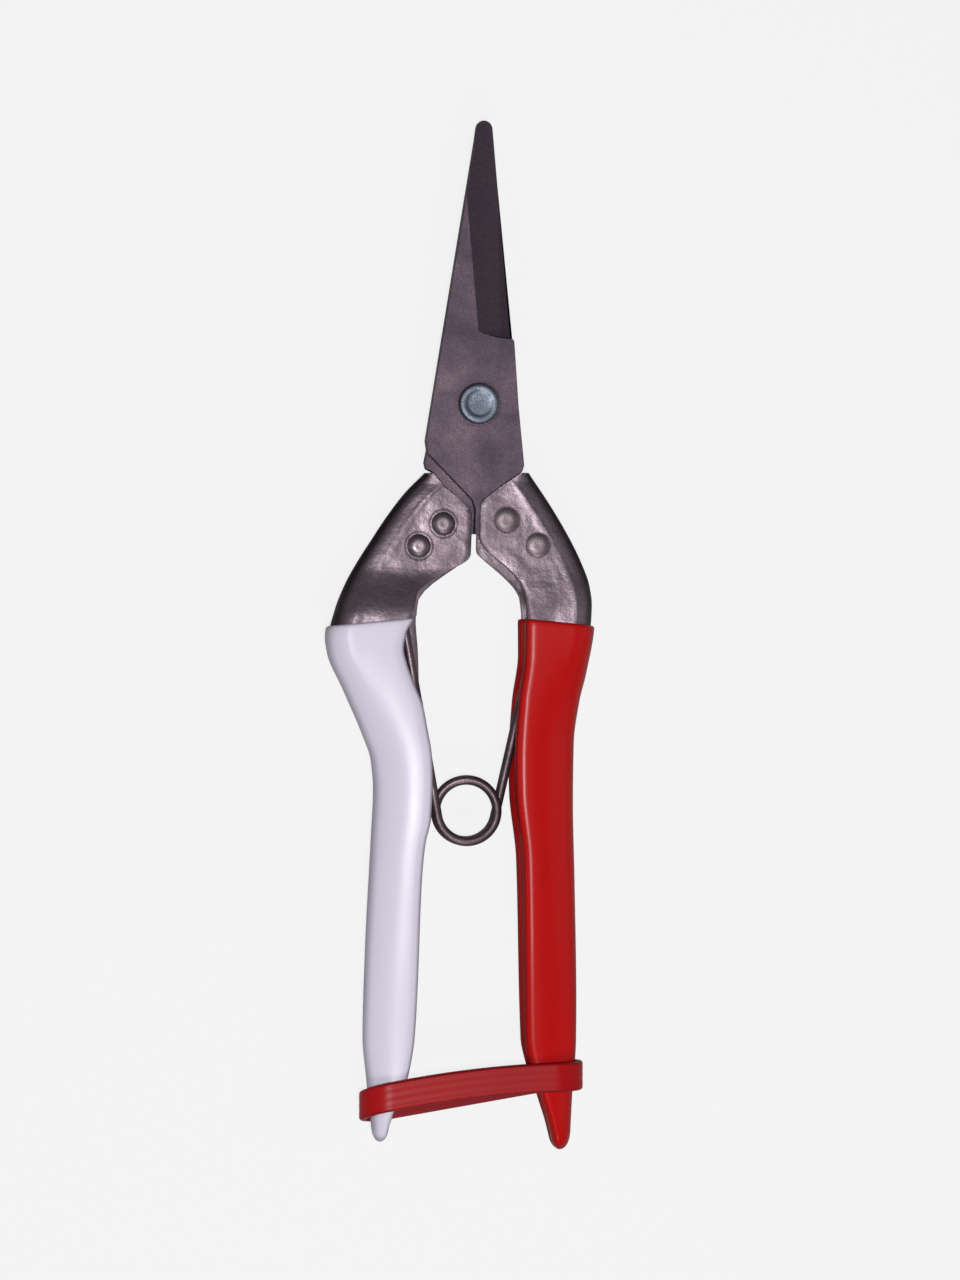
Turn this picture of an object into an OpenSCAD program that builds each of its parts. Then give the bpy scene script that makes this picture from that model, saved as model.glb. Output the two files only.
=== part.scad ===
// Floral snips: two bypass blades on a pivot bolt, pressed-steel channel handles with dipped
// grips, a torsion spring between the handles and a closing strap round the handle ends.
// The tool lies flat. +Y points to the blade tips, +Z out of the front face, and the pivot
// axis is x = y = 0. The back face of the pivot nut is z = 0.

/* [Blades] */
// Pivot axis to the blade tips
blade_reach = 52.4; // [46:0.2:64]
// Thickness of each blade and its tang
blade_t = 2.4; // [1.8:0.1:3]
// Length of the ground cutting edge
edge_len = 40.2; // [30:0.2:43]
// Width of the hollow-ground bevel
bevel_w = 6.2; // [4:0.1:7.5]
// Thickness left along the cutting edge
edge_t = 0.3; // [0.2:0.05:0.6]
// Radius of the hollow grind
grind_r = 45; // [25:1:90]
// Radius of the blade tip
tip_r = 1.6; // [1:0.05:2]
// Pivot centre to the shoulder of the front blade's spine
shoulder_w = 9.6; // [8.4:0.1:12]
// Pivot centre to the shoulder of the back blade's spine
back_shoulder_w = 7.9; // [7:0.1:12]
// Pivot centre to the heel of the front blade's cutting side
heel_w = 8.8; // [7.6:0.1:11]
// Pivot centre to the heel of the back blade's cutting side
back_heel_w = 9.4; // [7.6:0.1:11]
// Clockwise lean of the closed blades, in degrees
blade_lean = 1.5; // [0:0.1:2]
// Running gap between the two blades
blade_gap = 0.05; // [0.02:0.01:0.15]

/* [Pivot] */
// Diameter of the bolt shank
bolt_d = 5; // [3.5:0.1:6]
// Diameter of the bolt head
head_d = 7.5; // [6.8:0.1:9]
// Height of the bolt head above the front blade
head_h = 1.15; // [0.6:0.05:2]
// Depth of the recess that the head sits in
recess_h = 0.6; // [0.2:0.05:1]
// Gap round the head in its recess
recess_gap = 0.4; // [0.1:0.05:0.8]
// Thickness of the nut
nut_h = 2.2; // [1.5:0.1:3]
// Width of the nut across its flats
nut_w = 8; // [7:0.1:11]
// Thickness of the washer under the nut
washer_t = 0.4; // [0.2:0.05:0.8]
// Diameter of the washer
washer_d = 9.4; // [8:0.1:13]
// Radial clearance of the back blade on the bolt
run_fit = 0.05; // [0.02:0.01:0.1]
// Radial clearance of the pieces that don't turn on the bolt
seat_fit = 0.02; // [0.01:0.01:0.05]
// Gap between the back blade and the washer
washer_gap = 0.03; // [0.02:0.01:0.1]

/* [Handles] */
// Pivot axis to the end of the right grip
handle_reach = 137.8; // [120:0.2:170]
// How much shorter the left grip is
left_short = 2; // [0:0.2:4]
// Thickness of the pressed handle sheet
sheet_t = 1.2; // [0.8:0.05:1.6]
// Half depth of the handle channel at its top, sheet included
channel_half = 4.3; // [3.6:0.1:5.2]
// Half depth of the handle channel where the strap goes round it
channel_half_low = 2.8; // [2.6:0.1:3.6]
// Width of the rounded outer web
web_w = 3.6; // [3:0.1:4.5]
// Outermost point of the right handle's bow
right_bow = 21.5; // [19:0.1:26]
// Outermost point of the left handle's bow
left_bow = 27.5; // [24:0.1:33]
// Outer edge of the right handle at its waist
right_waist = 17.3; // [15:0.1:21]
// Outer edge of the left handle at its waist
left_waist = 18.6; // [16:0.1:22]
// Width of the handle channel at its waist
waist_w = 9.8; // [8:0.1:11.8]
// Set-back of the flanges from the closed blades' centre line
flange_back = 0.6; // [0.4:0.05:1]
// How far each tang stands past the centre line
neck_over = 0.05; // [0:0.01:0.15]
// Clearance between a tang and the web beside it
tang_clear = 0.15; // [0.05:0.05:0.5]

/* [Grips] */
// Thickness of the dipped grip coat
grip_t = 0.7; // [0.4:0.05:1]
// Pivot axis to the top of the grip coats
grip_top = 40.2; // [39.6:0.1:44]
// Solid vinyl past the end of the handle sheet
nose_len = 2.6; // [2.4:0.1:5]

/* [Rivets] */
// Diameter of a rivet head
rivet_d = 4.4; // [3.6:0.1:5]
// Height of a rivet head
rivet_h = 0.95; // [0.5:0.05:1.3]
// Diameter of a rivet shank
shank_d = 2.6; // [2:0.1:3.2]

/* [Spring] */
// Diameter of the spring wire
wire_d = 1.8; // [1.4:0.1:2.2]
// Inner diameter of the coil
coil_d = 9.5; // [8:0.1:12]
// Pivot axis to the centre of the coil
coil_reach = 75; // [70:0.5:80]
// Angle of the line from the pivot to the coil
coil_lean = 1.5; // [0:0.1:3]
// Distance of each leg's hook from that line
seat_w = 13.4; // [12.8:0.1:14.2]
// Gap between neighbouring turns of the coil
turn_gap = 0.07; // [0.03:0.01:0.3]
// Clearance round each hook in its hole
hook_gap = 0.15; // [0.05:0.05:0.4]

/* [Strap] */
// Width of the closing strap
strap_w = 5.4; // [4:0.1:8]
// Thickness of the closing strap
strap_t = 1.3; // [0.8:0.1:1.4]
// Gap between the strap and the grips
strap_gap = 0.1; // [0.05:0.05:0.3]
// End of the right grip to the middle of the strap
strap_up = 13.8; // [11:0.2:24]
// How much lower the front strand lies on the left grip
strap_drop = 4; // [0:0.2:6]
// How much lower the back strand lies on the left grip
strap_drop_back = 6.2; // [0:0.2:8]

/* [Hidden] */
$fn = 64;
RIGHT = 1;
LEFT = -1;

// Levels of the stack on the bolt, from the back
z_back = nut_h + washer_t + washer_gap;
z_back_top = z_back + blade_t;
z_front = z_back_top + blade_gap;
z_front_top = z_front + blade_t;
z_mid = (z_back_top + z_front) / 2;

// Stations along the handles, measured from the pivot towards the ends
clamp_top = 12.7;
clamp_end = 29;
step_len = 9.5;
bow_y = 37;
bow_y_left = 42.9;

// A step from 0 to 1 with level ends
function smooth(t) = let(u = min(1, max(0, t))) u * u * (3 - 2 * u);
function blend(a, b, t) = a + (b - a) * t;

// A smooth curve through points [y, value] in falling order of y, level where it turns back.
// Each point's slope is the harmonic mean of its neighbours', so that it never overshoots.
function secant(p, i) = (p[i + 1][1] - p[i][1]) / (p[i + 1][0] - p[i][0]);
function slope(p, i) =
    i == 0 ? secant(p, 0) :
    i == len(p) - 1 ? secant(p, i - 1) :
    let(a = secant(p, i - 1), b = secant(p, i))
    a * b <= 0 ? 0 : 2 * a * b / (a + b);
function span_of(p, y, i = 0) = i >= len(p) - 2 || y >= p[i + 1][0] ? i : span_of(p, y, i + 1);
function curve(p, y) =
    let(i = span_of(p, y), h = p[i + 1][0] - p[i][0], t = min(1, max(0, (y - p[i][0]) / h)))
    (1 + 2 * t) * (1 - t) * (1 - t) * p[i][1] + t * (1 - t) * (1 - t) * h * slope(p, i)
    + t * t * (3 - 2 * t) * p[i + 1][1] - t * t * (1 - t) * h * slope(p, i + 1);

// Where a share of the grip's length ends up along y
function reach(side) = handle_reach - (side == LEFT ? left_short : 0);
function station(side, share) = -grip_top - share * (reach(side) - grip_top);
// The closed blades' centre line
function centre_line(y) = y * tan(blade_lean);

// Outer edges of the handle sheet, as distances from the pivot's own centre plane
right_outer = [
    [-clamp_top, 9.5], [-18.6, 13.5], [-24.1, 16.8], [-29.1, 19.3], [-33.6, right_bow - 0.5],
    [-bow_y, right_bow], [-41, right_bow - 0.2], [station(RIGHT, 0.1), right_waist + 2.4],
    [station(RIGHT, 0.15), right_waist + 1.2], [station(RIGHT, 0.23), right_waist + 0.15],
    [station(RIGHT, 0.34), right_waist], [station(RIGHT, 0.49), right_waist + 0.3],
    [station(RIGHT, 0.72), right_waist + 0.65], [station(RIGHT, 0.79), right_waist + 0.6],
    [station(RIGHT, 0.9), right_waist - 0.15], [station(RIGHT, 0.985), right_waist - 0.6]];
left_outer = [
    [-clamp_top, 9.6], [-16.3, 13.2], [-20.7, 16.6], [-24.9, 19.4], [-29.6, 22.4],
    [-33.4, 24.5], [-38, left_bow - 1.1], [-bow_y_left, left_bow],
    [station(LEFT, 0.06), left_bow - 0.4], [station(LEFT, 0.13), left_waist + 5.6],
    [station(LEFT, 0.22), left_waist + 1.9], [station(LEFT, 0.265), left_waist + 0.45],
    [station(LEFT, 0.32), left_waist], [station(LEFT, 0.42), left_waist + 0.45],
    [station(LEFT, 0.63), left_waist + 1.5], [station(LEFT, 0.8), left_waist + 1.95],
    [station(LEFT, 0.87), left_waist + 1.35], [station(LEFT, 0.98), left_waist + 0.3]];

// Flange edges below the clamp, down to the end of the handle
right_inner_x = right_waist - waist_w;
left_inner_x = left_waist - waist_w + 0.6;
right_low = [
    [station(RIGHT, 0.06), right_inner_x + 1.5], [station(RIGHT, 0.15), right_inner_x + 0.35],
    [station(RIGHT, 0.26), right_inner_x - 0.3], [station(RIGHT, 0.32), right_inner_x - 0.2],
    [station(RIGHT, 0.45), right_inner_x + 1.1], [station(RIGHT, 0.79), right_inner_x + 1.75],
    [station(RIGHT, 0.83), right_inner_x + 2.5], [station(RIGHT, 0.9), right_inner_x + 4.8],
    [station(RIGHT, 0.95), right_inner_x + 6.3], [station(RIGHT, 0.985), right_inner_x + 7.1]];
left_low = [
    [station(LEFT, 0.26), left_inner_x + 0.15], [station(LEFT, 0.3), left_inner_x],
    [station(LEFT, 0.375), left_inner_x + 0.3], [station(LEFT, 0.43), left_inner_x + 1.4],
    [station(LEFT, 0.5), left_inner_x + 2], [station(LEFT, 0.73), left_inner_x + 2.8],
    [station(LEFT, 0.8), left_inner_x + 3.2], [station(LEFT, 0.87), left_inner_x + 4.3],
    [station(LEFT, 0.94), left_inner_x + 6.9], [station(LEFT, 0.98), left_inner_x + 8.1]];

// The flange on the blade's outer face starts high, and the one behind the tang lower
right_front = concat([
    [-12, 8.5], [-17.4, 1.1], [-18.2, centre_line(-18) + flange_back + 0.15],
    [-19, centre_line(-19) + flange_back], [-24.8, centre_line(-25) + flange_back],
    [-25.6, 0.35], [-27, 1.35], [-30.8, 5.8], [-33.4, 7.9], [-35.5, 8.7], [-39.2, 9.1]],
    right_low);
right_back = concat([
    [-12, 9.8], [-19.6, 0.6], [-20.6, centre_line(-20) + flange_back],
    [-26.8, centre_line(-27) + flange_back], [-27.6, 0.2], [-28.5, 1.1], [-32.1, 5.4],
    [-34.2, 7.5], [-36, 8.5], [-39.2, 8.95]], right_low);
left_front = concat([
    [-12, 10.2], [-19.4, 1.5], [-20.3, flange_back - centre_line(-20)],
    [-27.6, flange_back - centre_line(-28)], [-28.5, 1.6], [-31.2, 6.3], [-32.9, 9.1],
    [-35, 11.4], [-38.3, 12.2], [station(LEFT, 0.02), 14.3], [station(LEFT, 0.05), 14.8],
    [station(LEFT, 0.08), 14.2], [station(LEFT, 0.115), 13],
    [station(LEFT, 0.16), left_inner_x + 1.85], [station(LEFT, 0.2), left_inner_x + 1.1]],
    left_low);
left_back = concat([
    [-12, 9.1], [-17.4, 1.9], [-18.4, flange_back - centre_line(-18)],
    [-27.6, flange_back - centre_line(-28)], [-28.6, 1.8], [-32, 6.3], [-34, 8.9],
    [-36.2, 10.5], [-40, 10.9], [-45.7, 10.5], [station(LEFT, 0.16), left_inner_x + 0.8]],
    left_low);

function outer_edge(side, y) = curve(side == RIGHT ? right_outer : left_outer, y);
function front_edge(side, y) = curve(side == RIGHT ? right_front : left_front, y);
function back_edge(side, y) = curve(side == RIGHT ? right_back : left_back, y);
// How much wider a wall looks along x where the edge slants
function slant(side, y) =
    let(d = (outer_edge(side, y + 0.5) - outer_edge(side, y - 0.5))) sqrt(1 + d * d);

// Channel levels: clamped on the tang at the top, full depth in the grips, slim at the ends
function opened(side, y) =
    smooth((-y - clamp_end - (side == LEFT ? 1 : 0)) / step_len);
function half_depth(side, y) = curve([
    [-grip_top, channel_half], [station(side, 0.26), channel_half],
    [station(side, 0.6), blend(channel_half, channel_half_low, 0.4)],
    [station(side, 0.83), channel_half_low], [station(side, 0.94), channel_half_low - 0.3],
    [station(side, 1), channel_half_low - 0.6]], min(-grip_top, y));
function tang_back(side) = side == RIGHT ? z_front : z_back;
function front_z(side, y) =
    blend(tang_back(side) + blade_t + sheet_t, z_mid + half_depth(side, y), opened(side, y));
function back_z(side, y) =
    blend(tang_back(side) - sheet_t, z_mid - half_depth(side, y), opened(side, y));

// One closed U section at height y, grown by g all round. The web is half an ellipse.
WEB_STEPS = 4;
function section(side, y, g) =
    let(k = slant(side, y), out = outer_edge(side, y), ef = front_edge(side, y),
        eb = back_edge(side, y), web = min(web_w * k, 0.8 * (out - min(ef, eb))),
        cx = out - web, inner_w = max(web - sheet_t * k, grip_t + 0.3) - g,
        zf = front_z(side, y), zb = back_z(side, y), zc = (zf + zb) / 2,
        half = (zf - zb) / 2, inner_h = max(half - sheet_t, grip_t + 0.3) - g,
        xf = min(ef, cx - 0.3) - g, xb = min(eb, cx - 0.3) - g,
        round = max(0.15, 0.7 * g), lip = max(0.05, 0.4 * g))
    [for (p = concat(
        [[xf - lip, (half + inner_h + g) / 2], [xf, half + g - round], [xf + round, half + g]],
        [for (i = [0:WEB_STEPS]) let(a = 90 - i * 180 / WEB_STEPS)
            [cx + (web + g) * cos(a), (half + g) * sin(a)]],
        [[xb + round, -half - g], [xb, -half - g + round], [xb - lip, -(half + inner_h + g) / 2]],
        [[xb, -inner_h]],
        [for (i = [0:WEB_STEPS]) let(a = i * 180 / WEB_STEPS - 90)
            [cx + inner_w * cos(a), inner_h * sin(a)]],
        [[xf, inner_h]])) [side * p[0], y, zc + p[1]]];

// Heights at which the sections are taken, closer together where the shape turns
function stations_down(side, from, to) = [
    for (y = concat(
        [for (y = [clamp_top:1.15:20]) y], [for (y = [21:2:25]) y],
        [for (y = [26.2:1.4:40]) y], [for (i = [0:5]) grip_top + i * 2.9],
        [for (i = [1:13]) 54.7 + i * (reach(side) * 0.9 - 54.7) / 13],
        [for (i = [1:6]) reach(side) * (0.9 + 0.1 * i / 6)]))
    if (y > from + 0.4 && y < to - 0.4) -y];

// A skin between rings of equal length
function ring_faces(rings, n, flip) = [
    for (j = [0:rings - 2]) for (i = [0:n - 1])
        let(a = j * n + i, b = j * n + (i + 1) % n, c = a + n, d = b + n)
        each flip ? [[a, b, d], [a, d, c]] : [[a, d, b], [a, c, d]]];
function shifted(faces, by) = [for (f = faces) [for (v = f) v + by]];
function reversed(list) = [for (i = [len(list) - 1:-1:0]) list[i]];

// A solid swept through closed rings, with a flat face at each end
module swept(rings, flip = false) {
    n = len(rings[0]);
    m = len(rings);
    first = [for (i = [0:n - 1]) i];
    last = [for (i = [0:n - 1]) (m - 1) * n + i];
    caps = flip ? [reversed(first), last] : [first, reversed(last)];
    polyhedron(points = [for (r = rings) each r], faces = concat(ring_faces(m, n, flip), caps));
}

// A coat: an outer skin that comes to a low point beyond its last ring, and an inner skin
// closed at its own last ring, joined round the mouth at the first ring of each
module coat(outer, inner, tip, flip = false) {
    n = len(outer[0]);
    mo = len(outer);
    mi = len(inner);
    base = mo * n;
    end = (mo - 1) * n;
    point = base + mi * n;
    end_inner = [for (i = [0:n - 1]) base + (mi - 1) * n + i];
    mouth = [for (i = [0:n - 1]) let(j = (i + 1) % n)
        each flip ? [[j, i, base + i], [j, base + i, base + j]]
                  : [[i, j, base + i], [j, base + j, base + i]]];
    fan = [for (i = [0:n - 1]) let(j = (i + 1) % n)
        flip ? [end + i, end + j, point] : [end + j, end + i, point]];
    polyhedron(points = concat([for (r = outer) each r], [for (r = inner) each r], [tip]),
        faces = concat(ring_faces(mo, n, flip), shifted(ring_faces(mi, n, !flip), base),
            mouth, fan, [flip ? reversed(end_inner) : end_inner]));
}

// Where the rivets stand, and the ends of the spring legs
function rivet_at(side, low) = side == RIGHT
    ? (low ? [10.9, -26] : [5.1, -21.4])
    : (low ? [-10.95, -26.2] : [-6.4, -22.1]);
coil_at = [-coil_reach * sin(coil_lean), -coil_reach * cos(coil_lean)];
across = [cos(coil_lean), -sin(coil_lean)];
function seat_at(side) = coil_at / 2 + side * seat_w * across;

// Outline of one blade above its tang, in its own upright frame, cutting edge at +x
edge_root_y = blade_reach - edge_len;
edge_root_x = heel_w - 2.85;
neck_y = -17.7;
foot_x = 6.85;
module blade_outline(shoulder, heel) {
    polygon(concat(
        [for (a = [5:17:175]) [tip_r * cos(a), blade_reach - tip_r + tip_r * sin(a)]],
        [[-shoulder, -7.1], [-shoulder + 0.35, -9.1], [-shoulder + 0.65, -9.6],
         [-neck_over - 0.6, neck_y], [-neck_over, -19.4], [-neck_over, -24],
         [4, -24], [foot_x, -14.4], [foot_x + 0.2, -13.7], [foot_x + 0.9, -12.8],
         [heel - 0.3, -12.2], [heel, -11], [heel_w - 1.3, -0.5],
         [edge_root_x + 0.4, edge_root_y - 0.4], [edge_root_x, edge_root_y]]));
}

// The tang lies between the flanges, from the neck to past the hook of the spring leg
module tang_outline(side) {
    edge = side == RIGHT ? right_front : left_back;
    inset = 0.35;
    end = seat_at(side)[1] - wire_d / 2 - 1.1;
    ys = concat([for (y = [19.5:1.5:-end - 0.5]) -y], [end]);
    polygon([for (p = concat(
        [for (y = ys) [max(curve(edge, y) + inset, side * centre_line(y)) - (y > -24 ? 1 : 0), y]],
        [for (y = reversed(concat([-14, -16.5], ys)))
            [outer_edge(side, y) - (web_w + tang_clear) * slant(side, y), y]]))
        [side * p[0], p[1]]]);
}

// The hollow grind: the part of a large cylinder along the cutting edge that is above the
// bevel, ending in a shallow arc at the root of the edge
module hollow_grind() {
    run = [edge_root_x - tip_r, edge_root_y - (blade_reach - tip_r)];
    edge_dir = run / norm(run);
    drop = blade_t - edge_t;
    chord = norm([bevel_w, drop]);
    reach_c = sqrt(grind_r * grind_r - chord * chord / 4);
    axis_x = -bevel_w / 2 + reach_c * drop / chord;
    axis_z = -drop / 2 + reach_c * bevel_w / chord;
    root_r = 2.5 * bevel_w;
    past = 5;
    translate([edge_root_x, edge_root_y, 0]) rotate([0, 0, atan2(run[0], -run[1])])
        intersection() {
            translate([axis_x, -past, axis_z]) rotate([-90, 0, 0])
                cylinder(h = edge_len + 4 * past, r = grind_r, $fn = 256);
            translate([0, 0, -blade_t]) linear_extrude(2 * blade_t) {
                translate([root_r / 12, root_r]) circle(root_r);
                translate([-bevel_w - 1, root_r]) square([bevel_w + 1 + past, edge_len]);
            }
        }
}

// A small generic stamp: a ring over an open diamond
stamp_depth = 0.15;
module stamp() {
    stroke = 0.45;
    ring_r = 1.7;
    diamond = 2.7;
    translate([0, -8]) difference() {
        circle(ring_r);
        circle(ring_r - stroke);
    }
    translate([0, -11.6]) rotate(45) difference() {
        square(diamond, center = true);
        square(diamond - 2 * stroke, center = true);
    }
}

// One blade in the front one's place: its back face on z = 0
module blade(side, bore_gap) {
    difference() {
        linear_extrude(blade_t) {
            rotate(-blade_lean) scale([side, 1])
                blade_outline(side == RIGHT ? shoulder_w : back_shoulder_w,
                    side == RIGHT ? heel_w : back_heel_w);
            tang_outline(side);
        }
        rotate(-blade_lean) mirror([side == LEFT ? 1 : 0, 0, 0])
            translate([0, 0, side == RIGHT ? blade_t : 0])
                mirror([0, 0, side == LEFT ? 1 : 0]) hollow_grind();
        translate([0, 0, -1]) cylinder(h = blade_t + 2, d = bolt_d + 2 * bore_gap);
        for (low = [false, true])
            translate(concat(rivet_at(side, low), -1))
                cylinder(h = blade_t + 2, d = shank_d + 2 * seat_fit);
        translate(concat(seat_at(side), -1)) cylinder(h = blade_t + 2, d = wire_d + 2 * hook_gap);
    }
}

module front_blade() {
    color("#5c4f57") translate([0, 0, z_front]) difference() {
        blade(RIGHT, seat_fit);
        translate([0, 0, blade_t - recess_h])
            cylinder(h = blade_t, d = head_d + 2 * recess_gap);
        rotate(-blade_lean) translate([0, 0, blade_t - stamp_depth]) linear_extrude(1) stamp();
    }
}
module back_blade() {
    color("#5c4f57") translate([0, 0, z_back]) blade(LEFT, run_fit);
}

module pivot_bolt() {
    head_z = z_front_top - recess_h;
    top = z_front_top + head_h;
    rim = 0.5;
    bevel = 0.3;
    end_z = 0.15;
    color("#8a94a8") rotate_extrude() polygon([
        [0, end_z], [bolt_d / 2 - bevel, end_z], [bolt_d / 2, end_z + bevel],
        [bolt_d / 2, head_z], [head_d / 2, head_z], [head_d / 2, top - rim],
        [head_d / 2 - rim, top - 0.1], [head_d / 2 - 1.2, top - 0.1],
        [head_d / 2 - 1.3, top], [0, top]]);
}
module pivot_washer() {
    color("#9a9aa0") translate([0, 0, nut_h]) difference() {
        cylinder(h = washer_t, d = washer_d);
        translate([0, 0, -1]) cylinder(h = washer_t + 2, d = bolt_d + 2 * seat_fit);
    }
}
module pivot_nut() {
    across_corners = nut_w / cos(30);
    chamfer = 0.35;
    color("#8f8f96") difference() {
        intersection() {
            cylinder(h = nut_h, d = across_corners, $fn = 6);
            rotate_extrude() polygon([
                [0, 0], [nut_w / 2, 0], [across_corners / 2, chamfer],
                [across_corners / 2, nut_h], [0, nut_h]]);
        }
        translate([0, 0, -1]) cylinder(h = nut_h + 2, d = bolt_d + 2 * seat_fit);
    }
}

// A pressed channel handle, drilled for its two rivets
module handle(side) {
    metal_end = reach(side) - nose_len;
    ys = concat(stations_down(side, 0, metal_end), [-metal_end]);
    difference() {
        swept([for (y = ys) section(side, y, 0)], side == LEFT);
        for (low = [false, true])
            translate(concat(rivet_at(side, low), tang_back(side) - sheet_t - 1))
                cylinder(h = blade_t + 2 * sheet_t + 2, d = shank_d + 2 * seat_fit);
    }
}
module right_handle() {
    color("#8d7c7c") handle(RIGHT);
}
module left_handle() {
    color("#8d7c7c") handle(LEFT);
}

// The dipped coat over a handle, thick at its closed end
module grip(side) {
    tip = reach(side);
    metal_end = tip - nose_len;
    nose_r = 1.7;
    nose_flat = 0.1;
    inside = concat([-grip_top], stations_down(side, grip_top, metal_end), [-metal_end]);
    outside = concat([-grip_top], stations_down(side, grip_top, tip - nose_r));
    last = section(side, -(tip - nose_r), grip_t);
    mid_x = (min([for (p = last) p[0]]) + max([for (p = last) p[0]])) / 2;
    mouth_x = last[len(last) - 1][0];
    first = len(last) - WEB_STEPS - 2;
    rounded = [for (i = [0:3]) let(a = i * 22, filled = sin(a) / sin(66)) [
        for (k = [0:len(last) - 1]) let(p = last[k],
            in_mouth = k >= first && k <= first + WEB_STEPS,
            out_x = mouth_x - side * 0.4 * cos((k - first) * 180 / WEB_STEPS - 90),
            x = in_mouth ? blend(p[0], out_x - side * 0.1, filled) : p[0],
            dz = (p[2] - z_mid) * (in_mouth ? blend(1, 0.8, filled) : 1))
        [blend(mid_x, x, blend(0.35, 1, cos(a))), -(tip - nose_r + (nose_r - nose_flat) * filled),
         z_mid + dz * blend(0.5, 1, cos(a))]]];
    coat(concat([for (y = outside) section(side, y, grip_t)], rounded),
        [for (y = inside) section(side, y, 0)], [mid_x, -tip, z_mid], side == LEFT);
}
module right_grip() {
    color("#ad1614") grip(RIGHT);
}
module left_grip() {
    color("#d8d2de") grip(LEFT);
}

// A rivet with a low dome on both flanges
module rivet(side, low) {
    back = tang_back(side) - sheet_t;
    front = tang_back(side) + blade_t + sheet_t;
    dome = [for (a = [0:15:90]) [rivet_d / 2 * cos(a), rivet_h * sin(a)]];
    translate(rivet_at(side, low)) rotate_extrude() polygon(concat(
        [for (p = reversed(dome)) [p[0], back - p[1]]], [[shank_d / 2, back]],
        [[shank_d / 2, front]], [for (p = dome) [p[0], front + p[1]]]));
}
module right_rivet_upper() {
    color("#b4a8a8") rivet(RIGHT, false);
}
module right_rivet_lower() {
    color("#b4a8a8") rivet(RIGHT, true);
}
module left_rivet_upper() {
    color("#a09494") rivet(LEFT, false);
}
module left_rivet_lower() {
    color("#a09494") rivet(LEFT, true);
}

// One half of the spring: a hook through the tang, a straight leg and half of the coil.
// Each point of the wire's path is [x, y, z, heading, pitch].
coil_r = (coil_d + wire_d) / 2;
function leg_z(side) = z_mid - side * 0.75 * (wire_d + turn_gap);
leg_angle = asin(coil_r / norm(seat_at(LEFT) - coil_at));
function arm_path(side) =
    let(seat = seat_at(side), to_coil = coil_at - seat,
        heading = atan2(to_coil[1], to_coil[0]) + side * leg_angle,
        leg_len = norm(to_coil) * cos(leg_angle), dir = [cos(heading), sin(heading)],
        bend = wire_d, z = leg_z(side), rise = -side,
        hook_z = side == RIGHT ? z_front + blade_t * 0.75 : z_back + blade_t * 0.25,
        start = heading + side * 90, top = atan2(-coil_at[1], -coil_at[0]),
        sweep = turn_from(start, top, side))
    concat([[seat[0], seat[1], hook_z, heading, rise * 90]],
        [for (i = [0:4]) let(a = i * 22.5)
            concat(seat + dir * bend * (1 - cos(a)), z - rise * bend * (1 - sin(a)),
                heading, rise * (90 - a))],
        [for (i = [0:24]) let(a = start - side * sweep * i / 24)
            [coil_at[0] + coil_r * cos(a), coil_at[1] + coil_r * sin(a),
             blend(z, z_mid, i / 24), a - side * 90, 0]]);
// Angle from the start of the coil to its top, between half a turn and a turn and a half
function turn_from(start, top, side) =
    let(a = side * (start - top), turns = floor(a / 360)) a - 360 * turns;
function wire_ring(p) =
    let(h = p[3], q = p[4], side_v = [-sin(h), cos(h), 0],
        up = [-sin(q) * cos(h), -sin(q) * sin(h), cos(q)])
    [for (i = [0:9]) [p[0], p[1], p[2]]
        + wire_d / 2 * (side_v * cos(36 * i) + up * sin(36 * i))];
module spring_left_arm() {
    color("#33282b") swept([for (p = arm_path(LEFT)) wire_ring(p)]);
}
module spring_right_arm() {
    color("#33282b") swept([for (p = arm_path(RIGHT)) wire_ring(p)]);
}

// The closing strap: a flat band round both grips, lower on the left than on the right
strap_y = -(handle_reach - strap_up);
STRAP_ARC = 12;
STRAP_RUN = 10;
function strap_end(side) =
    let(top = strap_y + strap_w / 2 - (side == LEFT ? min(strap_drop, strap_drop_back) : 0),
        low = strap_y - strap_w / 2 - (side == LEFT ? max(strap_drop, strap_drop_back) : 0),
        out = max(outer_edge(side, top), outer_edge(side, low)))
    [side * (out - web_w), web_w + grip_t + strap_gap,
     half_depth(side, top) + grip_t + strap_gap];
// Path points [x, y, z, outward x, outward z], once round the loop
function strap_path() =
    let(r = strap_end(RIGHT), l = strap_end(LEFT))
    [for (q = concat(
        [for (i = [1:STRAP_RUN - 1]) let(t = i / STRAP_RUN)
            [blend(l[0], r[0], t), blend(l[2], r[2], t), 0, 1, 0]],
        [for (i = [0:STRAP_ARC]) let(a = 90 - 180 * i / STRAP_ARC)
            [r[0] + r[1] * cos(a), r[2] * sin(a), cos(a), sin(a), (1 - sin(a)) / 2]],
        [for (i = [1:STRAP_RUN - 1]) let(t = i / STRAP_RUN)
            [blend(r[0], l[0], t), -blend(r[2], l[2], t), 0, -1, 1]],
        [for (i = [0:STRAP_ARC]) let(a = 270 - 180 * i / STRAP_ARC)
            [l[0] + l[1] * cos(a), l[2] * sin(a), cos(a), sin(a), (1 - sin(a)) / 2]]))
        let(v = min(1, max(0, (r[0] + r[1] - q[0]) / (r[0] + r[1] - l[0] + l[1]))),
            y = strap_y - blend(strap_drop * v * v, strap_drop_back * v, q[4]))
        [q[0], y, z_mid + q[1], q[2], q[3]]];
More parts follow.
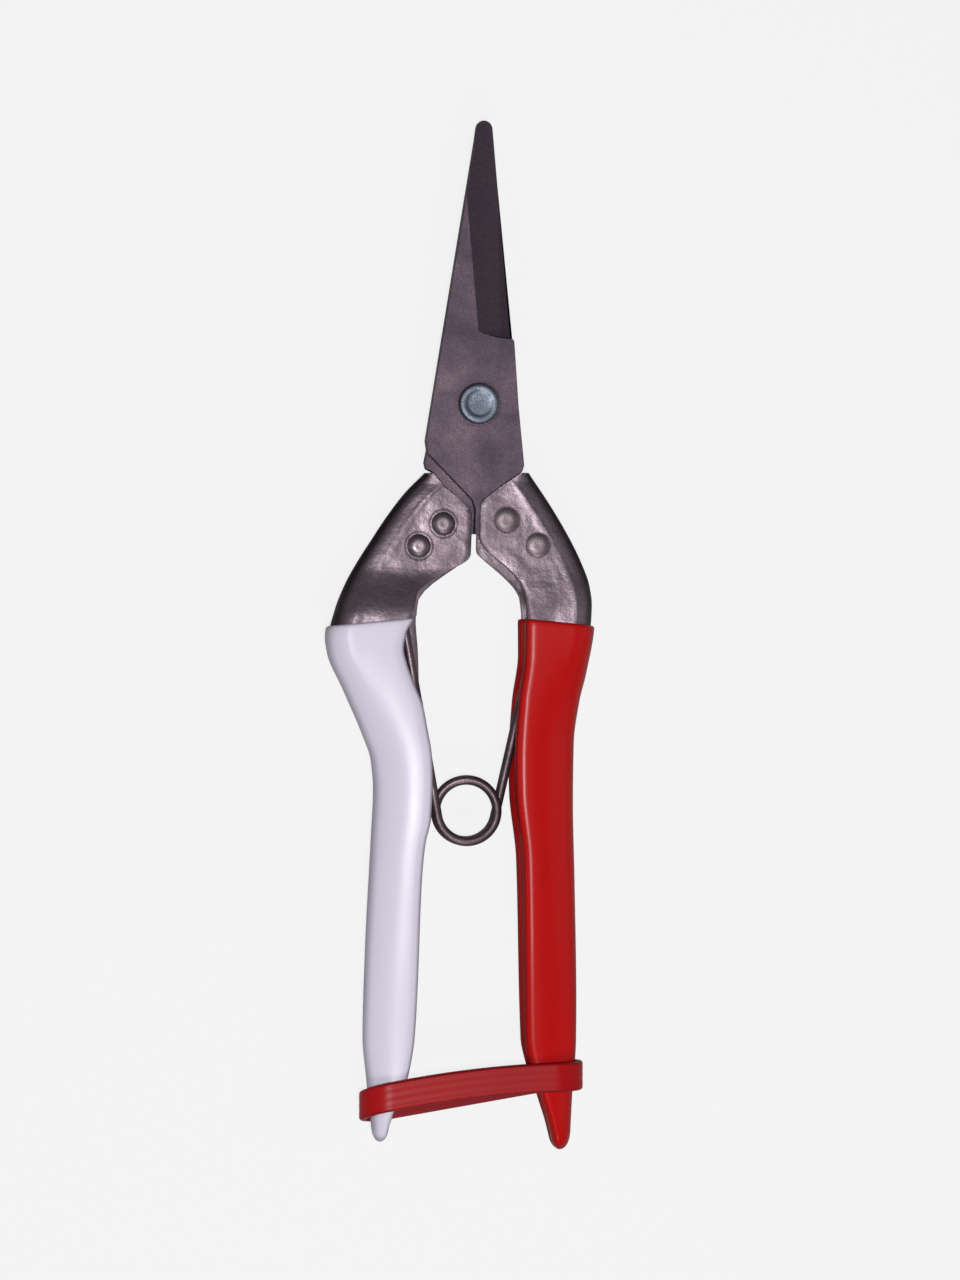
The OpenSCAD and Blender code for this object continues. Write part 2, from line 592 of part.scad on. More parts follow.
module closing_strap() {
    path = strap_path();
    n = len(path);
    edge = 0.3;
    rings = [for (p = path) [for (c = [
        [0, -strap_w / 2 + edge], [edge, -strap_w / 2], [strap_t - edge, -strap_w / 2],
        [strap_t, -strap_w / 2 + edge], [strap_t, strap_w / 2 - edge],
        [strap_t - edge, strap_w / 2], [edge, strap_w / 2], [0, strap_w / 2 - edge]])
        [p[0] + c[0] * p[3], p[1] + c[1], p[2] + c[0] * p[4]]]];
    color("#a81518") polyhedron(points = [for (r = rings) each r],
        faces = [for (j = [0:n - 1]) for (i = [0:7])
            let(a = j * 8 + i, b = j * 8 + (i + 1) % 8,
                c = (j + 1) % n * 8 + i, d = (j + 1) % n * 8 + (i + 1) % 8)
            each [[a, b, d], [a, d, c]]]);
}

front_blade();
back_blade();
pivot_bolt();
pivot_washer();
pivot_nut();
right_handle();
left_handle();
right_grip();
left_grip();
right_rivet_upper();
right_rivet_lower();
left_rivet_upper();
left_rivet_lower();
spring_left_arm();
spring_right_arm();
closing_strap();
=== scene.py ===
"""Floral snips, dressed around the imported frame.

The tool lies flat: +X right, +Y to the blade tips, +Z out of the front face, and the pivot
axis is x = y = 0. Sizes in this file are millimetres, and meshes are written in metres.
"""
import logging
import math
from collections.abc import Sequence
from dataclasses import dataclass, field
from enum import Enum
from typing import Any

import bmesh
import bpy
import numpy as np
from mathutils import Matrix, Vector
from numpy.typing import NDArray


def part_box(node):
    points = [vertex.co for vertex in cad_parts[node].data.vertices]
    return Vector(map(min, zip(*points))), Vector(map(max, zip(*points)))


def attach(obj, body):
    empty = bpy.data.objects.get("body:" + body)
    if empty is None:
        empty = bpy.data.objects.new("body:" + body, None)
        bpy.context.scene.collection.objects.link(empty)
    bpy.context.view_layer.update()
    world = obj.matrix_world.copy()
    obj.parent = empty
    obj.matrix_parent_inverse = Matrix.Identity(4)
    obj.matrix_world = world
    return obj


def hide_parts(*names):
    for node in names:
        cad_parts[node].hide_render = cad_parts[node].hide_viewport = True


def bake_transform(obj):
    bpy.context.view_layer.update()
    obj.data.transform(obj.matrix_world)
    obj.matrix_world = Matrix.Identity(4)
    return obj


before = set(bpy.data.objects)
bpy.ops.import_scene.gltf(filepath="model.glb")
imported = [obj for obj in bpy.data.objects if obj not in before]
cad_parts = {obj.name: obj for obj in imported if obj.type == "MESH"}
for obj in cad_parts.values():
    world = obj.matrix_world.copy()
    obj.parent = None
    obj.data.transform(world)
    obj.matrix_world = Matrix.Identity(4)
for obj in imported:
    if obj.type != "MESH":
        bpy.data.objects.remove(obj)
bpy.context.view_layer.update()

MM = 0.001
Array = NDArray[np.float64]
Ints = NDArray[np.int64]
Rgba = tuple[float, float, float, float]
Knots = tuple[tuple[float, float], ...]
log = logging.getLogger("snips")


class Side(Enum):
    """The two halves of the tool, with the sign of x on each."""

    LEFT = -1
    RIGHT = 1


class Cap(Enum):
    """How the two ends of a grid of rings are closed."""

    LOOP = "the last ring joins the first"
    PAIRS = "facing points of the ring are joined"
    POLES = "the ring is one face"


# ---------------------------------------------------------------- numbers and curves


def rgba(code: str) -> Rgba:
    """Linear colour of a #rrggbb code."""
    c = np.array([int(code[i : i + 2], 16) for i in (1, 3, 5)]) / 255
    linear = np.where(c <= 0.04045, c / 12.92, ((c + 0.055) / 1.055) ** 2.4)
    return (float(linear[0]), float(linear[1]), float(linear[2]), 1.0)


def smooth(t: Array | float) -> Array:
    """A step from 0 to 1 with level ends: u squared times (3 - 2u)."""
    u = np.clip(t, 0.0, 1.0)
    return u * u * (3 - 2 * u)


def mix(a: Array | float, b: Array | float, t: Array | float) -> Array:
    """The value a share t of the way from a to b."""
    return a + (b - a) * t


@dataclass(frozen=True)
class Curve:
    """A smooth curve through (y, value) knots in falling order of y.

    Between two knots it is a cubic whose slope at each knot is the harmonic mean of the
    slopes of the straight lines beside it, and level where those turn back, so that it
    never overshoots a knot.
    """

    knots: Knots

    def __call__(self, y: Array | float) -> Array:
        """Values at y, held past the first and last knots.

        Args:
            y: heights along the tool.

        Returns:
            The curve's value at each height.
        """
        p = np.array(self.knots)
        step = np.diff(p[:, 0])
        secant = np.diff(p[:, 1]) / step
        a, b = secant[:-1], secant[1:]
        inner = np.where(a * b <= 0, 0.0, 2 * a * b / np.where(a * b <= 0, 1.0, a + b))
        slope = np.concatenate([secant[:1], inner, secant[-1:]])
        y = np.asarray(y, float)
        i = np.clip(np.searchsorted(-p[:, 0], -y, side="right") - 1, 0, len(step) - 1)
        t = np.clip((y - p[i, 0]) / step[i], 0, 1)
        return (
            (1 + 2 * t) * (1 - t) ** 2 * p[i, 1]
            + t * (1 - t) ** 2 * step[i] * slope[i]
            + t * t * (3 - 2 * t) * p[i + 1, 1]
            - t * t * (1 - t) * step[i] * slope[i + 1]
        )


# ---------------------------------------------------------------- meshes


def ring_quads(rings: int, sides: int, looped: bool) -> Ints:
    """Faces between neighbouring closed rings of a grid.

    Args:
        rings: how many rings the grid has.
        sides: points in each ring.
        looped: whether the last ring joins the first.

    Returns:
        One row of four point numbers for each face.
    """
    j, i = np.meshgrid(np.arange(rings if looped else rings - 1), np.arange(sides), indexing="ij")
    k, n = (j + 1) % rings, (i + 1) % sides
    return np.stack([j * sides + i, j * sides + n, k * sides + n, k * sides + i], -1).reshape(-1, 4)


def cap_faces(first: int, sides: int, cap: Cap) -> list[list[int]]:
    """Faces that close the ring whose first point is number `first`."""
    if cap is Cap.POLES:
        return [list(range(first, first + sides))]
    i = np.arange(sides // 2 - 1)
    rows = np.stack([i, i + 1, sides - 2 - i, sides - 1 - i], -1) + first
    return rows.tolist()


def new_piece(
    name: str,
    points: Array,
    faces: Sequence[Sequence[int]],
    masks: dict[str, Array] | None = None,
    sharp: float = 50.0,
) -> bpy.types.Object:
    """A mesh object at the origin, its points in metres and its normals outwards.

    Args:
        name: the piece's name.
        points: rows of x, y, z in millimetres.
        faces: point numbers of each face.
        masks: values from 0 to 1 at each point, by attribute name.
        sharp: edges with a greater angle than this stay sharp, in degrees.

    Returns:
        The object.
    """
    mesh = bpy.data.meshes.new(name)
    mesh.from_pydata((points * MM).tolist(), [], faces)
    for key, values in (masks or {}).items():
        layer = mesh.attributes.new(key, "FLOAT", "POINT")
        layer.data.foreach_set("value", np.asarray(values, np.float32).ravel())
    made = bmesh.new()
    made.from_mesh(mesh)
    bmesh.ops.recalc_face_normals(made, faces=made.faces)
    made.to_mesh(mesh)
    made.free()
    mesh.polygons.foreach_set("use_smooth", np.ones(len(mesh.polygons), bool))
    mesh.set_sharp_from_angle(angle=math.radians(sharp))
    piece = bpy.data.objects.new(name, mesh)
    bpy.context.scene.collection.objects.link(piece)
    return piece


def grid_piece(
    name: str, grid: Array, cap: Cap, masks: dict[str, Array] | None = None, sharp: float = 50.0
) -> bpy.types.Object:
    """A closed piece from a grid of rings, of shape (rings, points, 3)."""
    rings, sides = grid.shape[:2]
    faces: list[list[int]] = ring_quads(rings, sides, cap is Cap.LOOP).tolist()
    if cap is not Cap.LOOP:
        faces += cap_faces(0, sides, cap) + cap_faces((rings - 1) * sides, sides, cap)
    return new_piece(name, grid.reshape(-1, 3), faces, masks, sharp)


def revolved(name: str, profile: Array, centre: tuple[float, float], sides: int = 96) -> bpy.types.Object:
    """A turned piece: each (radius, z) of the profile goes once round an upright axis.

    Args:
        name: the piece's name.
        profile: rows of radius and z, from the axis at one end to the axis at the other.
        centre: x and y of the axis.
        sides: points in each ring.

    Returns:
        The object, with a "radius" value at each point, 1 at the widest ring.
    """
    turn = np.linspace(0, 2 * np.pi, sides, endpoint=False)
    r, z = np.maximum(profile[:, :1], 0.02), profile[:, 1:]
    grid = np.stack(
        [centre[0] + r * np.cos(turn), centre[1] + r * np.sin(turn), np.broadcast_to(z, (len(r), sides))],
        -1,
    )
    wide = np.broadcast_to(r / r.max(), (len(r), sides))
    return grid_piece(name, grid, Cap.POLES, {"radius": wide}, sharp=60)


def rounded_profile(corners: Sequence[tuple[float, float, float]], steps: int = 6) -> Array:
    """A profile through corners, each rounded by a quadratic arc.

    Args:
        corners: rows of radius, z and the length cut off each side of the corner.
        steps: points along each rounded corner.

    Returns:
        Rows of radius and z.
    """
    p = np.array(corners)
    rows = [p[:1, :2]]
    for before, here, after in zip(p[:-2], p[1:-1], p[2:]):
        cut = here[2]
        if cut <= 0:
            rows.append(here[None, :2])
            continue
        a = here[:2] + (before[:2] - here[:2]) * cut / np.linalg.norm(before[:2] - here[:2])
        b = here[:2] + (after[:2] - here[:2]) * cut / np.linalg.norm(after[:2] - here[:2])
        t = np.linspace(0, 1, steps)[:, None]
        rows.append((1 - t) ** 2 * a + 2 * t * (1 - t) * here[:2] + t * t * b)
    return np.concatenate([*rows, p[-1:, :2]])


# ---------------------------------------------------------------- shader groups and finishes


class Nodes:
    """Adds and links nodes in one node tree."""

    def __init__(self, tree: bpy.types.NodeTree) -> None:
        """Keeps the tree that the nodes go into."""
        self.tree = tree

    def add(self, kind: str, settings: dict[str, Any] | None = None, **inputs: Any) -> bpy.types.Node:
        """A new node.

        Args:
            kind: the node's type, without its ShaderNode prefix.
            settings: attributes of the node itself.
            inputs: its sockets by name, spaces written as _, each a value or a socket.

        Returns:
            The node.
        """
        node = self.tree.nodes.new("ShaderNode" + kind)
        for key, value in (settings or {}).items():
            setattr(node, key, value)
        for key, value in inputs.items():
            self.put(node.inputs[key.replace("_", " ")], value)
        return node

    def put(self, socket: bpy.types.NodeSocket, value: Any) -> None:
        """Sets a socket's value, or links another socket to it."""
        if isinstance(value, bpy.types.NodeSocket):
            self.tree.links.new(value, socket)
        else:
            socket.default_value = value

    def blend(self, share: Any, a: Any, b: Any, way: str = "MIX") -> bpy.types.NodeSocket:
        """The colour a share of the way from a to b."""
        node = self.add("Mix", {"data_type": "RGBA", "blend_type": way})
        for number, value in ((0, share), (6, a), (7, b)):
            self.put(node.inputs[number], value)
        return node.outputs[2]

    def maths(self, way: str, a: Any, b: Any = 0.0) -> bpy.types.NodeSocket:
        """One arithmetic step on two values."""
        node = self.add("Math", {"operation": way})
        self.put(node.inputs[0], a)
        self.put(node.inputs[1], b)
        return node.outputs[0]

    def group(self, tree: bpy.types.NodeTree, **inputs: Any) -> bpy.types.Node:
        """One of the shared groups, with its own values."""
        node = self.tree.nodes.new("ShaderNodeGroup")
        node.node_tree = tree
        for key, value in inputs.items():
            self.put(node.inputs[key.replace("_", " ")], value)
        return node

    def mask(self, name: str) -> bpy.types.NodeSocket:
        """A value kept at each point of the mesh."""
        return self.add("Attribute", {"attribute_name": name}).outputs["Fac"]

    def end(self, kind: str) -> bpy.types.Node:
        """The input or output node of a group."""
        return self.tree.nodes.new(kind)


def new_group(name: str, inputs: dict[str, Any], outputs: Sequence[str]) -> tuple[Nodes, Any, Any]:
    """An empty shader group with named sockets.

    Args:
        name: the group's name.
        inputs: starting values by socket name; a triple makes a vector socket.
        outputs: names of the value sockets that it puts out.

    Returns:
        Its nodes, its input node's sockets and its output node's sockets.
    """
    tree = bpy.data.node_groups.new(name, "ShaderNodeTree")
    for key, value in inputs.items():
        kind = "NodeSocketVector" if isinstance(value, tuple) else "NodeSocketFloat"
        tree.interface.new_socket(key, in_out="INPUT", socket_type=kind).default_value = value
    for key in outputs:
        tree.interface.new_socket(key, in_out="OUTPUT", socket_type="NodeSocketFloat")
    nodes = Nodes(tree)
    return nodes, nodes.end("NodeGroupInput").outputs, nodes.end("NodeGroupOutput").inputs


@dataclass
class Effects:
    """The shader groups that several finishes share."""

    mottle: bpy.types.NodeTree = field(init=False)
    grain: bpy.types.NodeTree = field(init=False)
    wear: bpy.types.NodeTree = field(init=False)
    ring: bpy.types.NodeTree = field(init=False)

    def __post_init__(self) -> None:
        """Builds each group once."""
        self.mottle = self._mottle()
        self.grain = self._grain()
        self.wear = self._wear()
        self.ring = self._painted_shade_ring()

    def _mottle(self) -> bpy.types.NodeTree:
        """Cloudy patches: warped noise on the object's own coordinates, stretched to a mask."""
        sockets = {"Stretch": (1.0, 1.0, 1.0), "Scale": 100.0, "Low": 0.35, "High": 0.65}
        nodes, given, out = new_group("cloudy_patches", sockets, ["Mask"])
        place = nodes.add("TexCoord").outputs["Object"]
        at = nodes.add("VectorMath", {"operation": "MULTIPLY"})
        nodes.put(at.inputs[0], place)
        nodes.put(at.inputs[1], given["Stretch"])
        noise = nodes.add(
            "TexNoise", Vector=at.outputs[0], Scale=given["Scale"], Detail=5.0, Distortion=0.4)
        spread = nodes.add(
            "MapRange", Value=noise.outputs[0], From_Min=given["Low"], From_Max=given["High"])
        nodes.put(out["Mask"], spread.outputs[0])
        return nodes.tree

    def _grain(self) -> bpy.types.NodeTree:
        """Fine grain: noise squeezed along one axis, as a height about 0 to 1."""
        nodes, given, out = new_group(
            "fine_grain", {"Stretch": (1.0, 1.0, 1.0), "Scale": 3000.0, "Coarse": 0.3}, ["Height"]
        )
        place = nodes.add("TexCoord").outputs["Object"]
        at = nodes.add("VectorMath", {"operation": "MULTIPLY"})
        nodes.put(at.inputs[0], place)
        nodes.put(at.inputs[1], given["Stretch"])
        fine = nodes.add("TexNoise", Vector=at.outputs[0], Scale=given["Scale"], Detail=3.0)
        wide_scale = nodes.maths("MULTIPLY", given["Scale"], 0.17)
        wide = nodes.add("TexNoise", Vector=at.outputs[0], Scale=wide_scale, Detail=2.0)
        both = nodes.add("MapRange", Value=given["Coarse"], To_Min=fine.outputs[0], To_Max=wide.outputs[0])
        nodes.put(out["Height"], both.outputs[0])
        return nodes.tree

    def _wear(self) -> bpy.types.NodeTree:
        """Rubbed edges: an edge value broken up by noise, so that the rub isn't even."""
        nodes, given, out = new_group(
            "rubbed_edges", {"Edge": 0.0, "Scale": 900.0, "Amount": 0.6}, ["Mask"])
        place = nodes.add("TexCoord").outputs["Object"]
        noise = nodes.add("TexNoise", Vector=place, Scale=given["Scale"], Detail=4.0)
        lifted = nodes.maths("ADD", given["Edge"], nodes.maths("MULTIPLY", noise.outputs[0], 0.8))
        spread = nodes.add("MapRange", Value=lifted, From_Min=1.05, From_Max=1.35)
        nodes.put(out["Mask"], nodes.maths("MULTIPLY", spread.outputs[0], given["Amount"]))
        return nodes.tree

    def _painted_shade_ring(self) -> bpy.types.NodeTree:
        """A ring mask round an upright axis, for painted shade round rivet heads: 1 at its radius and 0 a
        width away on either side.
        """
        nodes, given, out = new_group(
            "rivet_shade_ring", {"Centre": (0.0, 0.0, 0.0), "Radius": 0.0025, "Width": 0.0004}, ["Mask"]
        )
        flat = nodes.add("VectorMath", {"operation": "MULTIPLY"})
        nodes.put(flat.inputs[0], nodes.add("TexCoord").outputs["Object"])
        nodes.put(flat.inputs[1], (1.0, 1.0, 0.0))
        away = nodes.add("VectorMath", {"operation": "DISTANCE"})
        nodes.put(away.inputs[0], flat.outputs[0])
        nodes.put(away.inputs[1], given["Centre"])
        off = nodes.maths("ABSOLUTE", nodes.maths("SUBTRACT", away.outputs["Value"], given["Radius"]))
        share = nodes.maths("DIVIDE", off, given["Width"])
        spread = nodes.add(
            "MapRange", {"interpolation_type": "SMOOTHSTEP"}, Value=share, To_Min=1.0, To_Max=0.0)
        nodes.put(out["Mask"], spread.outputs[0])
        return nodes.tree


def shaded(name: str, **constants: Any) -> tuple[bpy.types.Material, Nodes, Any]:
    """A material with one Principled shader.

    Args:
        name: the material's name.
        constants: values that are the same all over, set on the shader's own sockets.

    Returns:
        The material, its nodes and the shader's sockets.
    """
    material = bpy.data.materials.new(name)
    material.use_nodes = True
    material.node_tree.nodes.clear()
    nodes = Nodes(material.node_tree)
    shader = nodes.add("BsdfPrincipled", **constants)
    end = nodes.add("OutputMaterial")
    nodes.put(end.inputs["Surface"], shader.outputs[0])
    return material, nodes, shader.inputs


@dataclass(frozen=True)
class Steel:
    """Scaled or polished steel: two tones in patches, rubbed edges, fine grain, and painted shade where a
    mask or rings are given.
    """

    name: str
    tone: str
    patch: str
    rubbed: str
    rough: tuple[float, float] = (0.3, 0.5)
    metallic: float = 0.85
    patch_scale: float = 140.0
    patch_stretch: tuple[float, float, float] = (1.0, 1.0, 1.0)
    speckle: float = 0.25
    grain_scale: float = 3500.0
    grain_stretch: tuple[float, float, float] = (1.0, 1.0, 1.0)
    grain_depth: float = 0.04
    dents: float = 0.0
    # Centre x, y and radius of each ring of painted shade.
    rings: tuple[tuple[float, float, float], ...] = ()
    edge_mask: str = ""
    painted_shade_mask: str = ""
    dark: str = "#1a1414"

    def material(self, effects: Effects) -> bpy.types.Material:
        """The finish as a material.

        Args:
            effects: the shared shader groups.

        Returns:
            A Principled material. Colour: tone to patch by the cloudy mask, darkened by a speckle, then by
                painted shade from the shade mask and from rings round given centres, then lifted by rubbed
                edges. Roughness goes between its two values by the same clouds.
        """
        made, nodes, shader = shaded(self.name, Metallic=self.metallic)
        clouds = nodes.group(
            effects.mottle, Stretch=self.patch_stretch, Scale=self.patch_scale, Low=0.33, High=0.67
        ).outputs[0]
        flecks = nodes.group(effects.mottle, Scale=self.patch_scale * 14, Low=0.42, High=0.66).outputs[0]
        colour = nodes.blend(clouds, rgba(self.tone), rgba(self.patch))
        colour = nodes.blend(nodes.maths("MULTIPLY", flecks, self.speckle), colour, rgba(self.dark))
        # Painted shade: the masked area is darkened to the dark tone.
        if self.painted_shade_mask:
            colour = nodes.blend(nodes.mask(self.painted_shade_mask), colour, rgba(self.dark))
        # Each ring darkens the colour towards the dark tone: painted shade round a rivet head.
        for x, y, radius in self.rings:
            mark = nodes.group(effects.ring, Centre=(x * MM, y * MM, 0.0), Radius=radius * MM).outputs[0]
            colour = nodes.blend(nodes.maths("MULTIPLY", mark, 0.75), colour, rgba(self.dark))
        if self.edge_mask:
            rub = nodes.group(effects.wear, Edge=nodes.mask(self.edge_mask)).outputs[0]
            colour = nodes.blend(rub, colour, rgba(self.rubbed))
        nodes.put(shader["Base Color"], colour)
        nodes.put(shader["Roughness"], nodes.add(
            "MapRange", Value=clouds, To_Min=self.rough[0], To_Max=self.rough[1]).outputs[0])
        grain = nodes.group(effects.grain, Stretch=self.grain_stretch, Scale=self.grain_scale).outputs[0]
        bump = nodes.add("Bump", Strength=self.grain_depth * 10, Distance=0.0001, Height=grain)
        if self.dents:
            pressed = nodes.group(effects.grain, Scale=330.0, Coarse=0.6).outputs[0]
            wide = nodes.add("Bump", Strength=self.dents, Distance=0.0012, Height=pressed)
            nodes.put(bump.inputs["Normal"], wide.outputs[0])
        nodes.put(shader["Normal"], bump.outputs[0])
        return made


@dataclass(frozen=True)
class Vinyl:
    """Dipped or moulded vinyl: an even colour that drifts a little, with painted shade along its edges."""

    name: str
    tone: str
    deep: str
    # Tone of the painted shade along the edges, also used for the soil flecks.
    edge: str
    rough: tuple[float, float] = (0.2, 0.3)
    orange_peel: float = 0.12
    edge_mask: str = "edge"
    soil: float = 0.1
    gloss: float = 0.3

    def material(self, effects: Effects) -> bpy.types.Material:
        """The finish as a material.

        Args:
            effects: the shared shader groups.

        Returns:
            A Principled material. Colour: tone to deep by wide clouds, a faint soil in small flecks, and
                painted shade in the edge tone by the edge mask. The bump is a slow orange-peel ripple with
                a little fine grain.
        """
        made, nodes, shader = shaded(self.name, Specular_IOR_Level=self.gloss)
        clouds = nodes.group(
            effects.mottle, Stretch=(1.0, 0.35, 1.0), Scale=70.0, Low=0.3, High=0.72).outputs[0]
        flecks = nodes.group(effects.mottle, Scale=1300.0, Low=0.62, High=0.78).outputs[0]
        colour = nodes.blend(nodes.maths("MULTIPLY", clouds, 0.55), rgba(self.tone), rgba(self.deep))
        colour = nodes.blend(nodes.maths("MULTIPLY", flecks, self.soil), colour, rgba(self.edge))
        # Painted shade: the edge mask lays the edge tone.
        colour = nodes.blend(nodes.mask(self.edge_mask), colour, rgba(self.edge))
        nodes.put(shader["Base Color"], colour)
        nodes.put(shader["Roughness"], nodes.add(
            "MapRange", Value=clouds, To_Min=self.rough[0], To_Max=self.rough[1]).outputs[0])
        peel = nodes.group(effects.grain, Stretch=(1.0, 0.6, 1.0), Scale=900.0, Coarse=0.75).outputs[0]
        bump = nodes.add("Bump", Strength=self.orange_peel, Distance=0.0002, Height=peel)
        nodes.put(shader["Normal"], bump.outputs[0])
        return made


# ---------------------------------------------------------------- the handles and their grips


@dataclass(frozen=True)
class Levels:
    """Heights of the stack on the bolt, read from the frame."""

    back: float
    back_top: float
    front: float
    front_top: float

    @classmethod
    def from_frame(cls) -> "Levels":
        """The two blades' faces."""
        back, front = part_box("back_blade"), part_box("front_blade")
        return cls(back[0].z / MM, back[1].z / MM, front[0].z / MM, front[1].z / MM)

    @property
    def mid(self) -> float:
        """The plane between the blades."""
        return (self.back_top + self.front) / 2


@dataclass(frozen=True)
class Outline:
    """One handle seen from the front, as distances from the pivot's own centre plane.

    The pairs called low are (share of the grip's length, distance).
    """

    side: Side
    reach: float
    outer: Knots
    outer_low: Knots
    front: Knots
    back: Knots
    edge_low: Knots
    grip_top: float = 40.2

    def _with_low(self, high: Knots, *low: Knots) -> Curve:
        """A curve from knots in y and then knots in shares of the grip."""
        span = self.reach - self.grip_top
        return Curve(high + tuple((-self.grip_top - s * span, v) for knots in low for s, v in knots))

    @property
    def outer_edge(self) -> Curve:
        """The web's outermost line."""
        return self._with_low(self.outer, self.outer_low)

    @property
    def front_edge(self) -> Curve:
        """The edge of the front flange."""
        return self._with_low(self.front, self.edge_low)

    @property
    def back_edge(self) -> Curve:
        """The edge of the back flange."""
        return self._with_low(self.back, self.edge_low)


RIGHT_OUTLINE = Outline(
    Side.RIGHT, 137.8,
    outer=((-12.7, 9.5), (-18.6, 13.5), (-24.1, 16.8), (-29.1, 19.3), (-33.6, 21.0), (-37.0, 21.5),
           (-41.0, 21.3)),
    outer_low=((0.1, 19.7), (0.15, 18.5), (0.23, 17.45), (0.34, 17.3), (0.49, 17.6), (0.72, 17.95),
               (0.79, 17.9), (0.9, 17.15), (0.985, 16.7)),
    front=((-12.0, 8.5), (-17.4, 1.1), (-18.2, 0.34), (-19.0, 0.17), (-24.8, 0.03), (-25.6, 0.35),
           (-27.0, 1.35), (-30.8, 5.8), (-33.4, 7.9), (-35.5, 8.7), (-39.2, 9.1)),
    back=((-12.0, 9.8), (-19.6, 0.6), (-20.6, 0.15), (-26.8, -0.01), (-27.6, 0.2), (-28.5, 1.1),
          (-32.1, 5.4), (-34.2, 7.5), (-36.0, 8.5), (-39.2, 8.95)),
    edge_low=((0.06, 9.0), (0.15, 7.85), (0.26, 7.2), (0.32, 7.3), (0.45, 8.6), (0.79, 9.25),
              (0.83, 10.0), (0.9, 12.3), (0.95, 13.8), (0.985, 14.6)),
)
LEFT_OUTLINE = Outline(
    Side.LEFT, 135.8,
    outer=((-12.7, 9.6), (-16.3, 13.2), (-20.7, 16.6), (-24.9, 19.4), (-29.6, 22.4), (-33.4, 24.5),
           (-38.0, 26.4), (-42.9, 27.5)),
    outer_low=((0.06, 27.1), (0.13, 24.2), (0.22, 20.5), (0.265, 19.05), (0.32, 18.6), (0.42, 19.05),
               (0.63, 20.1), (0.8, 20.55), (0.87, 19.95), (0.98, 18.9)),
    front=((-12.0, 10.2), (-19.4, 1.5), (-20.3, 1.05), (-27.6, 1.24), (-28.5, 1.6), (-31.2, 6.3),
           (-32.9, 9.1), (-35.0, 11.4), (-38.3, 12.2), (-42.1, 14.3), (-45.0, 14.8), (-47.8, 14.2),
           (-51.2, 13.0), (-55.5, 11.25), (-59.3, 10.5)),
    back=((-12.0, 9.1), (-17.4, 1.9), (-18.4, 1.01), (-27.6, 1.24), (-28.6, 1.8), (-32.0, 6.3),
          (-34.0, 8.9), (-36.2, 10.5), (-40.0, 10.9), (-45.7, 10.5), (-55.5, 10.2)),
    edge_low=((0.26, 9.55), (0.3, 9.4), (0.375, 9.7), (0.43, 10.8), (0.5, 11.4), (0.73, 12.2),
              (0.8, 12.6), (0.87, 13.7), (0.94, 16.3), (0.98, 17.5)),
)


@dataclass(frozen=True)
class RingPlan:
    """How many points of a channel's ring lie on each of its stretches."""

    lip: int = 5
    flange: int = 12
    web: int = 33

    @property
    def half(self) -> int:
        """Points from the front lip round the outside to the back lip."""
        return 2 * self.lip + 2 * self.flange + self.web


